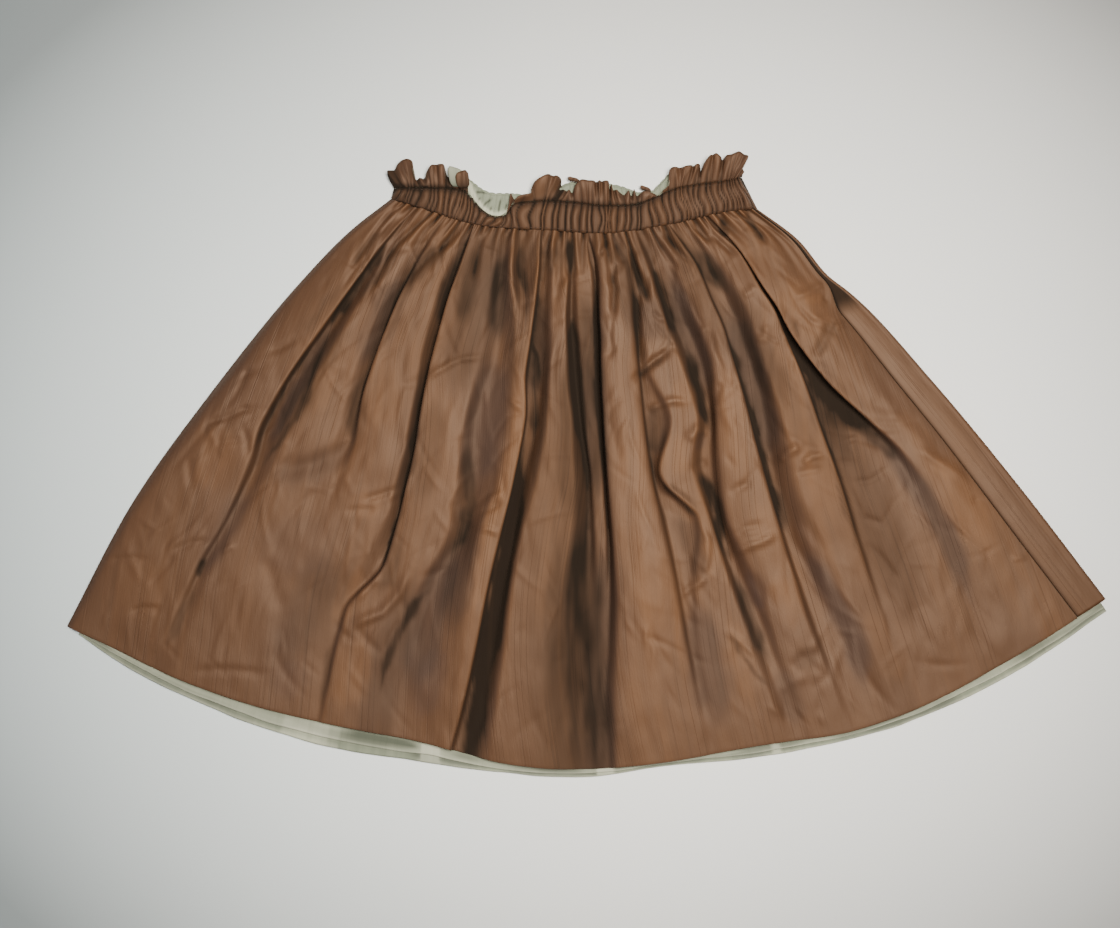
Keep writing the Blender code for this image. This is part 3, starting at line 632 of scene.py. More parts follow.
# Painted shade and painted light along paths. Each row holds the half width, dark, grey, warm and the path.
PAINTED_SHADING = tuple(PaintedShading(*row[:4], trail(row[4:])) for row in (
    # Left side and the fold beside it
    (3.5, .7, 0, 0, 70, 60, 77, 160, 83, 260, 80, 340),
    (5.5, .25, .8, 0, 84, 260, 87, 340, 93, 420, 98, 500, 98, 580),
    (2.6, .6, 0, 0, 88, 300, 104, 400, 117, 480, 108, 550, 99, 610),
    (2.4, .45, 0, 0, 77, 300, 75, 400, 80, 500, 92, 600),
    (8, .12, .5, 0, 102, 600, 101, 680, 100, 760, 96, 840),
    (3, .6, 0, 0, 95, 775, 93, 805, 96, 830),
    (4, .3, 0, 0, 96, 820, 94, 900, 86, 970),
    (6, .3, 0, 0, 60, 200, 64, 280, 68, 370),
    (3, .3, 0, 0, 45, 60, 52, 140, 56, 200),
    (14, 0, 0, .5, 40, 520, 52, 600, 58, 700),
    (14, 0, 0, .2, 30, 800, 50, 880, 60, 960),
    (3.5, .45, 0, 0, 92, 80, 102, 180, 107, 260),
    # Left lap and the fold right of it
    (9, 0, 0, .25, 118, 280, 122, 380, 130, 500),
    (9, .25, .65, 0, 138, 130, 146, 220, 156, 310, 162, 380),
    (3.6, .75, 0, 0, 158, 100, 163, 180, 170, 260, 178, 340),
    (6, .45, 0, 0, 170, 330, 183, 410, 198, 480, 204, 520),
    (10, .2, .3, 0, 205, 470, 186, 525, 160, 560, 130, 595, 108, 620),
    (6, .5, 0, 0, 185, 30, 176, 90, 163, 150, 158, 200),
    (26, 0, .3, 0, 150, 640, 180, 700, 190, 780),
    (15, .22, .25, 0, 214, 660, 216, 760, 206, 860, 200, 960),
    (12, 0, .5, .35, 222, 890, 214, 940, 208, 990),
    (16, 0, 0, .35, 205, 200, 215, 350, 228, 500),
    (10, 0, 0, .3, 235, 560, 245, 600, 258, 640),
    # Fold left of the left middle
    (5, .45, .2, 0, 222, 0, 238, 80, 248, 180, 258, 280),
    (6.5, .3, .2, 0, 255, 280, 266, 380, 277, 500, 280, 620),
    (2.2, .8, 0, 0, 262, 270, 272, 360, 284, 480, 287, 600, 284, 690, 272, 780),
    (5, .5, 0, 0, 288, 620, 292, 690, 286, 770),
    (9, 0, 0, .4, 268, 700, 258, 780, 242, 840),
    (14, 0, 0, .55, 275, 820, 272, 900, 270, 990),
    (3, .3, 0, 0, 246, 840, 247, 920, 249, 990),
    (7, .35, 0, 0, 262, 20, 276, 100, 288, 180, 295, 250),
    (15, 0, 0, .3, 300, 320, 306, 450, 312, 580),
    # Slope left of the narrow ridge
    (8, .45, .35, 0, 318, 20, 332, 110, 347, 200, 355, 280),
    (15, .15, .8, 0, 350, 240, 362, 340, 366, 440, 366, 520, 362, 580),
    (5, .55, 0, 0, 342, 420, 352, 490, 364, 560, 360, 630, 346, 700),
    (13, .22, .85, 0, 360, 600, 350, 680, 338, 760, 332, 860, 326, 970),
    (3, .5, 0, 0, 345, 700, 331, 740, 316, 790, 304, 870, 299, 960),
    (9, 0, .55, 0, 352, 800, 345, 900, 340, 990),
    (3, .5, 0, 0, 350, 20, 360, 90, 380, 140, 395, 180),
    (5, 0, 0, .5, 395, 200, 404, 320, 408, 420, 400, 520, 390, 620, 382, 740, 372, 880),
    # Hollow right of the narrow ridge
    (8, .55, .2, 0, 405, 100, 412, 180, 418, 280, 426, 380),
    (2.6, .5, 0, 0, 400, 200, 412, 260, 426, 310, 433, 400, 426, 460),
    (6.5, 1.1, 0, 0, 418, 380, 419, 520, 416, 600, 411, 680, 404, 780, 394, 920),
    (8, 1.1, 0, 0, 414, 540, 410, 660, 402, 800, 393, 920, 378, 1300),
    (13, 0, 0, .35, 470, 280, 476, 420, 474, 560, 460, 700, 448, 860),
    (3.4, .6, 0, 0, 455, 10, 460, 60, 466, 110),
    (6, .3, 0, 0, 420, 20, 428, 70, 432, 120),
    # Fold left of the roll
    (4, .95, 0, 0, 476, 140, 484, 240, 492, 340, 503, 420, 515, 510),
    (9, .42, .15, 0, 488, 400, 500, 500, 500, 600, 497, 720, 493, 860, 488, 1200),
    (6, .12, .75, 0, 503, 200, 510, 300, 518, 400, 524, 500, 526, 580),
    (4.2, 1, 0, 0, 530, 60, 536, 140, 534, 240, 533, 340, 536, 440, 538, 530),
    (10, .45, .6, 0, 530, 540, 527, 640, 520, 740, 512, 860, 503, 1200),
    (3, 0, .3, .5, 523, 520, 526, 600, 526, 660),
    (14, 0, 0, .45, 578, 300, 580, 420, 575, 560, 572, 700, 570, 860),
    (6, 0, 0, .5, 603, 540, 604, 640, 602, 760, 600, 900),
    (7, .15, .2, 0, 548, 600, 545, 750, 538, 900),
    (13, .2, .7, 0, 622, 700, 622, 800, 622, 900, 624, 990),
    # Peaked fold
    (2.6, .65, 0, 0, 626, 30, 629, 100, 640, 150, 645, 180),
    (2.8, .7, 0, 0, 620, 110, 612, 200, 604, 300),
    (12, .15, .45, 0, 640, 140, 638, 200, 630, 270),
    (2.6, .4, 0, 0, 588, 325, 605, 308, 630, 290, 655, 270),
    (6.5, .5, .2, 0, 622, 360, 616, 420, 608, 480),
    (8, 0, 0, .3, 640, 335, 655, 350, 660, 400),
    (9, 0, 0, .4, 640, 420, 630, 480, 650, 520),
    (3.4, .7, 0, 0, 607, 500, 621, 530, 640, 565, 655, 600),
    (8, .3, .3, 0, 614, 560, 630, 610, 636, 670, 624, 720),
    (6, 0, 0, .45, 655, 620, 650, 670, 640, 710),
    (9, 0, 0, .45, 655, 740, 657, 840, 660, 960),
    (2, .35, 0, 0, 645, 780, 660, 850, 680, 920),
    # Fold left of the right middle
    (4, .65, 0, 0, 664, 70, 669, 140, 676, 200, 675, 260),
    (10, .25, .7, 0, 690, 80, 700, 160, 702, 240, 700, 330, 693, 410),
    (4.4, .75, 0, 0, 688, 240, 690, 320, 686, 390, 690, 450),
    (8, 0, .6, .2, 668, 430, 673, 480),
    (4.6, .85, 0, 0, 656, 490, 670, 550, 674, 590, 666, 640, 667, 690),
    (5.5, .6, .2, 0, 670, 680, 675, 760, 677, 830, 685, 880),
    (6, 0, .5, 0, 688, 690, 692, 730, 690, 780),
    (10, .15, .3, 0, 690, 860, 692, 930, 696, 990),
    (11, 0, 0, .4, 735, 240, 728, 360, 716, 480, 708, 580),
    (11, 0, 0, .5, 712, 700, 716, 770, 716, 830),
    (7, .22, 0, 0, 700, 880, 715, 860, 738, 855),
    # Fold left of the right lap
    (6, .55, .2, 0, 750, 30, 762, 80, 780, 140, 796, 180),
    (3, .45, 0, 0, 780, 60, 791, 120, 803, 200),
    (10, .35, .8, 0, 776, 160, 782, 260, 772, 360, 764, 460, 752, 560),
    (3.2, .85, 0, 0, 762, 180, 760, 280, 753, 380, 748, 480, 742, 580, 738, 660),
    (5, .5, 0, 0, 742, 540, 743, 600, 740, 660),
    (9, .08, .9, 0, 748, 640, 757, 710, 766, 790, 770, 860, 764, 920, 757, 980),
    (10, 0, 0, .4, 828, 220, 825, 320, 814, 440, 804, 560, 792, 700),
    (12, 0, 0, .4, 790, 800, 792, 880, 795, 970),
    (5, 0, .2, .35, 757, 620, 766, 680, 775, 730),
    # Panel beneath the flap
    (4.6, 1.2, 0, 0, 862, 180, 866, 240, 858, 300, 853, 360, 860, 430),
    (7.5, .75, 0, 0, 856, 330, 862, 400, 872, 460, 882, 510, 892, 560),
    (12, .4, 0, 0, 848, 320, 854, 430, 870, 540),
    (19, .32, 0, 0, 844, 340, 846, 500, 843, 640, 836, 780, 828, 940),
    (2.4, .6, 0, 0, 838, 380, 831, 470, 823, 560, 814, 650, 805, 760),
    (5, .45, .4, 0, 868, 450, 882, 520, 896, 580, 906, 630),
    (8, .18, 1, 0, 880, 510, 893, 580, 899, 660, 901, 740, 896, 800, 888, 870, 882, 930),
    # Flap
    (2.4, .6, 0, 0, 897, 0, 874, 30, 857, 65),
    (3, .55, 0, 0, 957, 0, 943, 45, 926, 95),
    (16, 0, 0, .4, 905, 160, 906, 280, 905, 380),
    (13, 0, 0, .4, 925, 460, 935, 600, 938, 740, 925, 880),
    (5, .28, 0, 0, 868, 360, 892, 345, 915, 322, 945, 298),
    (4, 0, 0, .3, 905, 245, 935, 243, 965, 225),
    (3.6, .7, 0, 0, 958, 290, 972, 260, 984, 235, 992, 215),
    (6, 0, 0, .3, 930, 620, 945, 680),
))
# The same painted shade and light, for the places that lie over all the others.
SHADE = tuple(PaintedShading(*row[:4], trail(row[4:])) for row in (
    (13, .16, 0, 0, 20, 20, 250, 30, 500, 30, 750, 30, 970, 20),
    (8, .3, 0, 0, 92, 240, 104, 360, 110, 460, 104, 580),
    (20, .1, 0, 0, 205, 180, 226, 320, 236, 460),
    (15, .34, 0, 0, 280, -40, 297, 120, 310, 260, 318, 420),
    (10, .22, 0, 0, 296, 340, 302, 460, 306, 620),
    (12, .12, 0, 0, 362, -40, 378, 120, 387, 260, 392, 380),
    (18, .18, 0, 0, 452, 40, 463, 300, 462, 500, 455, 750, 452, 1150),
    (10, .28, 0, 0, 476, 240, 486, 420, 488, 620),
    (10, .46, 0, 0, 505, 40, 513, 280, 520, 450, 516, 620),
    (10, .32, 0, 0, 516, 420, 511, 620, 506, 800, 502, 1100),
    (12, .34, 0, 0, 482, 460, 475, 800, 470, 1250),
    (9, .24, .2, 0, 364, 560, 366, 680, 360, 840),
    (8, -.16, 0, 0, 680, 540, 683, 680, 686, 840),
    (9, .16, 0, 0, 796, 220, 808, 400, 804, 580),
    (9, .16, 0, 0, 852, 340, 847, 460, 849, 600),
    (9, .22, 0, 0, 730, -40, 746, 140, 750, 240, 744, 380),
    (7, .16, 0, 0, 536, 360, 536, 500, 533, 660),
    (9, .14, 0, 0, 800, 720, 796, 880, 790, 1100),
    (15, .1, 0, 0, 250, 680, 238, 800, 232, 920),
    (13, .28, .2, 0, 316, 640, 305, 850, 297, 1200),
    (12, .2, 0, 0, 655, -20, 665, 150, 674, 320),
    (9, .22, 0, 0, 600, -20, 606, 120, 604, 260),
    (9, .24, 0, 0, 798, 120, 806, 280, 798, 460),
    (12, -.16, 0, .4, 718, 540, 722, 680, 726, 820),
    (14, -.12, 0, .4, 562, 600, 558, 850, 554, 1200),
    (15, -.12, 0, .35, 935, 550, 940, 750, 938, 1200),
))


@dataclass(frozen=True)
class ClothFinish:
    """Finish of a cloth: its colours, its colours for painted shade (dark, grey) and painted light (warm),
    and its surface.
    """

    name: str
    slot: Slot
    colour: Colour
    dark: Colour
    grey: Colour
    warm: Colour
    roughness: float
    lines: float
    crinkle: float
    gloss: Colour = (1.0, 1.0, 1.0)


@dataclass(frozen=True)
class PlainFinish:
    """Finish of a plain matt thing: its name, colour and roughness."""

    name: str
    colour: Colour
    roughness: float


# The dark and grey colours are those of painted shade, the warm colour that of painted light.
LEATHER = ClothFinish("brown leather cloth", Slot.LEATHER, (0.075, 0.0335, 0.0155), (0.0042, 0.0024, 0.0016),
                      (0.050, 0.0262, 0.0185), (0.118, 0.0510, 0.0205), 0.60, 0.6, 0.7, (1.0, 0.75, 0.56))
LINING = ClothFinish("sage lining cloth", Slot.LINING, (0.205, 0.228, 0.155), (0.045, 0.050, 0.034),
                     (0.17, 0.18, 0.14), (0.46, 0.47, 0.34), 0.75, 0.25, 0.35)
CREAM = ClothFinish("cream lining hem", Slot.LINING, (0.315, 0.330, 0.235), (0.085, 0.095, 0.066),
                    (0.20, 0.21, 0.155), (0.47, 0.47, 0.35), 0.75, 0.25, 0.3)
THREAD = PlainFinish("brown thread", (0.046, 0.023, 0.013), 0.7)
FLOOR = PlainFinish("pale floor", (0.80, 0.81, 0.80), 0.85)


class Nodes:
    """Adds nodes to one shader tree and links them."""

    def __init__(self, tree: bpy.types.NodeTree) -> None:
        """Keeps the tree."""
        self.tree = tree

    def feed(self, sockets: Sockets, values: Dict[Union[int, str], Value]) -> None:
        """Links each named input to a socket, or gives it a value.

        Args:
            sockets: the inputs of a node.
            values: the socket or value of each input, by its name or number.
        """
        for label, value in values.items():
            if isinstance(value, bpy.types.NodeSocket):
                self.tree.links.new(value, sockets[label])
            else:
                sockets[label].default_value = value

    def add(self, kind: str, values: Dict[Union[int, str], Value], **settings: object) -> Sockets:
        """New node.

        Args:
            kind: its type, after "ShaderNode".
            values: what its inputs get, by their names or numbers.
            **settings: its own properties.

        Returns:
            Its outputs.
        """
        node = self.tree.nodes.new("ShaderNode" + kind)
        for name, setting in settings.items():
            setattr(node, name, setting)
        self.feed(node.inputs, values)
        return node.outputs

    def math(self, operation: str, first: Value, second: Value = 0.0) -> Value:
        """Result of a math node on two values."""
        return self.add("Math", {0: first, 1: second}, operation=operation)[0]

    def plus(self, first: Value, second: Value) -> Value:
        """Sum of two values."""
        return self.math("ADD", first, second)

    def minus(self, first: Value, second: Value) -> Value:
        """First value less the second."""
        return self.math("SUBTRACT", first, second)

    def times(self, first: Value, second: Value) -> Value:
        """Product of two values."""
        return self.math("MULTIPLY", first, second)

    def held(self, value: Value, low: float = 0.0, high: float = 1.0) -> Value:
        """Value held between two limits."""
        return self.math("MINIMUM", self.math("MAXIMUM", value, low), high)

    def folded(self, value: Value) -> Value:
        """Distance of a noise from its middle, 0.5."""
        return self.math("ABSOLUTE", self.minus(value, 0.5))

    def mixed(self, factor: Value, first: Value, second: Value) -> Value:
        """Colour at a factor of the way from the first to the second."""
        return self.add("Mix", {0: factor, 6: first, 7: second}, data_type="RGBA")[2]

    def noise(self, cloth: Value, across: float, down: float, detail: float, roughness: float) -> Value:
        """Noise on the flat cloth.

        Args:
            cloth: places on the flat cloth in metres.
            across: waves to the metre across the cloth.
            down: waves to the metre down the cloth.
            detail: how many finer noises are added.
            roughness: share of each finer noise.

        Returns:
            The noise, between 0 and 1.
        """
        place = self.add("Mapping", {"Vector": cloth, "Scale": (across, down, 1.0)})["Vector"]
        values = {"Vector": place, "Scale": 1.0, "Detail": detail, "Roughness": roughness}
        return self.add("TexNoise", values, noise_dimensions="2D")["Fac"]


class ShaderGroups:
    """Shared effects as node groups with named sockets, built once."""

    def __init__(self) -> None:
        """Builds the groups for tones, lengthwise lines, crinkles and uneven colour."""
        kinds = {"Colour": "Color"}
        for mask in TONES:
            kinds.update({mask: "Float", mask + " colour": "Color"})
        self.tones = self.make("tones", kinds, "Color", self.toned)
        cloth = {"Cloth": "Vector"}
        self.lines = self.make("lengthwise lines", cloth, "Float", self.lines_of)
        self.crinkle = self.make("crinkles", cloth, "Float", self.crinkles_of)
        self.uneven = self.make("uneven colour", cloth, "Float", self.uneven_of)

    @staticmethod
    def make(name: str, kinds: Dict[str, str], kind: str, effect: Effect) -> bpy.types.NodeTree:
        """New group with its effect between its named inputs and outputs.

        Args:
            name: the group's name.
            kinds: type of each input, after "NodeSocket".
            kind: type of the outputs, after "NodeSocket".
            effect: adds the nodes between, and gives what feeds each output.

        Returns:
            The group.
        """
        tree = bpy.data.node_groups.new(name, "ShaderNodeTree")
        for label, made in kinds.items():
            tree.interface.new_socket(label, in_out="INPUT", socket_type="NodeSocket" + made)
        nodes = Nodes(tree)
        values = effect(nodes, tree.nodes.new("NodeGroupInput").outputs)
        for label in values:
            tree.interface.new_socket(label, in_out="OUTPUT", socket_type="NodeSocket" + kind)
        nodes.feed(tree.nodes.new("NodeGroupOutput").inputs, values)
        return tree

    @staticmethod
    def toned(nodes: Nodes, source: Sockets) -> Dict[str, Value]:
        """Colour of a place: the cloth's colour mixed to warm, to grey and to dark by their masks.

        Args:
            nodes: where the nodes go.
            source: the group's inputs.

        Returns:
            The colour.
        """
        colour = source["Colour"]
        for mask in TONES:
            colour = nodes.mixed(source[mask], colour, source[mask + " colour"])
        return {"Colour": colour}

    @staticmethod
    def lines_of(nodes: Nodes, source: Sockets) -> Dict[str, Value]:
        """Fine straight lengthwise lines: noise across the cloth alone, folded and kept where thin.

        Args:
            nodes: where the nodes go.
            source: the group's inputs, places on the flat cloth.

        Returns:
            Mask of the thin lines, and the height of all of them.
        """
        cloth = source["Cloth"]
        fine = nodes.noise(cloth, 900.0, 2.0, 2.0, 0.5)
        broad = nodes.folded(nodes.noise(cloth, 120.0, 0.35, 3.0, 0.55))
        thin = nodes.math("MAXIMUM", nodes.plus(nodes.times(broad, -26.0), 1.0), 0.0)
        broken = nodes.noise(cloth, 60.0, 9.0, 1.0, 0.5)
        thin = nodes.times(thin, nodes.held(nodes.times(nodes.minus(broken, 0.40), 5.0)))
        return {"Lines": thin, "Height": nodes.plus(fine, nodes.times(thin, -1.2))}

    @staticmethod
    def crinkles_of(nodes: Nodes, source: Sockets) -> Dict[str, Value]:
        """Small crinkles: two sizes of noise and a folded one, all longer down the cloth than across.

        Args:
            nodes: where the nodes go.
            source: the group's inputs, places on the flat cloth.

        Returns:
            Their height.
        """
        cloth = source["Cloth"]
        large = nodes.noise(cloth, 70.0, 26.0, 4.0, 0.62)
        small = nodes.noise(cloth, 300.0, 120.0, 3.0, 0.6)
        fold = nodes.times(nodes.folded(nodes.noise(cloth, 42.0, 15.0, 2.0, 0.5)), 9.0)
        height = nodes.plus(large, nodes.times(small, 0.20))
        return {"Height": nodes.plus(height, nodes.times(nodes.math("MINIMUM", fold, 1.0), 0.22))}

    @staticmethod
    def uneven_of(nodes: Nodes, source: Sockets) -> Dict[str, Value]:
        """Uneven colour: broad soft patches and narrow lengthwise streaks, each from 0 to 1."""
        return {"Patches": nodes.noise(source["Cloth"], 16.0, 8.0, 4.0, 0.6),
                "Streaks": nodes.noise(source["Cloth"], 150.0, 0.9, 3.0, 0.6)}


class Wardrobe:
    """Makes the materials of the finishes from the shared groups, each once."""

    def __init__(self) -> None:
        """Builds the groups, and no material yet."""
        self.groups = ShaderGroups()
        self.made: Dict[str, bpy.types.Material] = {}

    def start(self, name: str, colour: Colour) -> Tuple[Nodes, Sockets]:
        """New material.

        Args:
            name: its name.
            colour: its plain colour.

        Returns:
            Its nodes, and the inputs of its surface shader.
        """
        material = bpy.data.materials.new(name)
        material.use_nodes = True
        material.diffuse_color = (*colour, 1.0)
        self.made[name] = material
        return Nodes(material.node_tree), material.node_tree.nodes["Principled BSDF"].inputs

    def cloth(self, finish: ClothFinish) -> bpy.types.Material:
        """Cloth material: base colour with painted shade and light, streaks and patches, a bump of lines and
        crinkles.

        Args:
            finish: the cloth's finish.

        Returns:
            Its material, made once for each finish.
        """
        if finish.name in self.made:
            return self.made[finish.name]
        nodes, shader = self.start(finish.name, finish.colour)
        place = {"Cloth": nodes.add("UVMap", {}, uv_map="cloth")["UV"]}
        lines, crinkle, uneven = (nodes.add("Group", place, node_tree=tree) for tree in (
            self.groups.lines, self.groups.crinkle, self.groups.uneven))
        # The attribute tone holds painted shade (red dark, green grey) and painted light (blue warm);
        # patches, streaks and lines add the cloth's own uneven colour.
        masks = nodes.add("Attribute", {}, attribute_name="tone")["Color"]
        tone = nodes.add("SeparateColor", {"Color": masks})
        streaks = nodes.minus(uneven["Streaks"], 0.5)
        patches = nodes.minus(uneven["Patches"], 0.5)
        warm = nodes.plus(tone["Blue"], nodes.times(patches, 0.8))
        warm = nodes.plus(warm, nodes.times(streaks, 0.5))
        grey = nodes.minus(tone["Green"], nodes.times(patches, 0.7))
        dark = nodes.plus(tone["Red"], nodes.times(lines["Lines"], 0.28 * finish.lines))
        dark = nodes.minus(dark, nodes.times(streaks, 0.25 * finish.lines))
        values = {"Colour": (*finish.colour, 1.0)}
        for mask, value, colour in zip(TONES, (warm, grey, dark), (finish.warm, finish.grey, finish.dark)):
            values.update({mask: nodes.held(value), mask + " colour": (*colour, 1.0)})
        toned = nodes.add("Group", values, node_tree=self.groups.tones)
        rough = nodes.plus(nodes.times(patches, 0.16), finish.roughness)
        rough = nodes.plus(rough, nodes.times(tone["Red"], 0.35))
        normal = nodes.add("Bump", {"Strength": 1.0, "Distance": 0.00012 * finish.lines,
                                    "Height": lines["Height"]})["Normal"]
        normal = nodes.add("Bump", {"Strength": 1.0, "Distance": 0.0004 * finish.crinkle,
                                    "Height": crinkle["Height"], "Normal": normal})["Normal"]
        nodes.feed(shader, {
            "Base Color": toned["Colour"], "Roughness": nodes.math("MINIMUM", rough, 1.0), "Normal": normal,
            "Specular IOR Level": 0.55, "Specular Tint": (*finish.gloss, 1.0), "Metallic": 0.0})
        return self.made[finish.name]

    def plain(self, finish: PlainFinish, half: Optional[Tuple[float, float]] = None) -> bpy.types.Material:
        """Plain matt material with a trace of fine unevenness.

        Args:
            finish: its finish.
            half: half extents in metres over which a painted pool of light falls off, or none.

        Returns:
            Its material, made once for each finish.
        """
        if finish.name in self.made:
            return self.made[finish.name]
        nodes, shader = self.start(finish.name, finish.colour)
        place = nodes.add("TexCoord", {})["Object"]
        speckle = nodes.add("TexNoise", {"Vector": place, "Scale": 3.0})["Fac"]
        low, high = ([min(c * share, 1.0) for c in finish.colour] + [1.0] for share in (0.97, 1.03))
        colour = nodes.mixed(speckle, low, high)
        if half is not None:
            colour = self.painted_light_pool(nodes, place, colour, half)
        nodes.feed(shader, {"Base Color": colour, "Roughness": finish.roughness})
        return self.made[finish.name]

    @staticmethod
    def painted_light_pool(nodes: Nodes, place: Value, colour: Value, half: Tuple[float, float]) -> Value:
        """Painted pool of light: colour that falls off softly away from the skirt, most at the upper left,
        and cools there.

        Its shade is 1.2 - 0.10 r^2 - 0.085 r^4 + 0.08 x - 0.06 y, where x and y are places over
        their half extents and r is the length of both, and it is held between 0.45 and 1.2.

        Args:
            nodes: where the nodes go.
            place: places in metres.
            colour: the colour where the shade is 1.
            half: half extents in metres.

        Returns:
            The shaded colour.
        """
        split = nodes.add("SeparateXYZ", {"Vector": place})
        x, y = (nodes.times(split[axis], 1.0 / extent) for axis, extent in zip("XY", half))
        square = nodes.plus(nodes.times(x, x), nodes.times(y, y))
        fall = nodes.plus(nodes.times(nodes.times(square, square), -0.085), nodes.times(square, -0.10))
        lean = nodes.plus(nodes.times(x, 0.08), nodes.times(y, -0.06))
        shade = nodes.held(nodes.plus(nodes.plus(fall, lean), 1.2), 0.45, 1.2)
        cool = nodes.held(nodes.times(x, -0.8))
        tint = nodes.mixed(cool, (1.0, 1.0, 0.985, 1.0), (0.87, 0.975, 1.0, 1.0))
        scaled = nodes.add("VectorMath", {0: tint, "Scale": shade}, operation="SCALE")[0]
        return nodes.add("VectorMath", {0: scaled, 1: colour}, operation="MULTIPLY")[0]


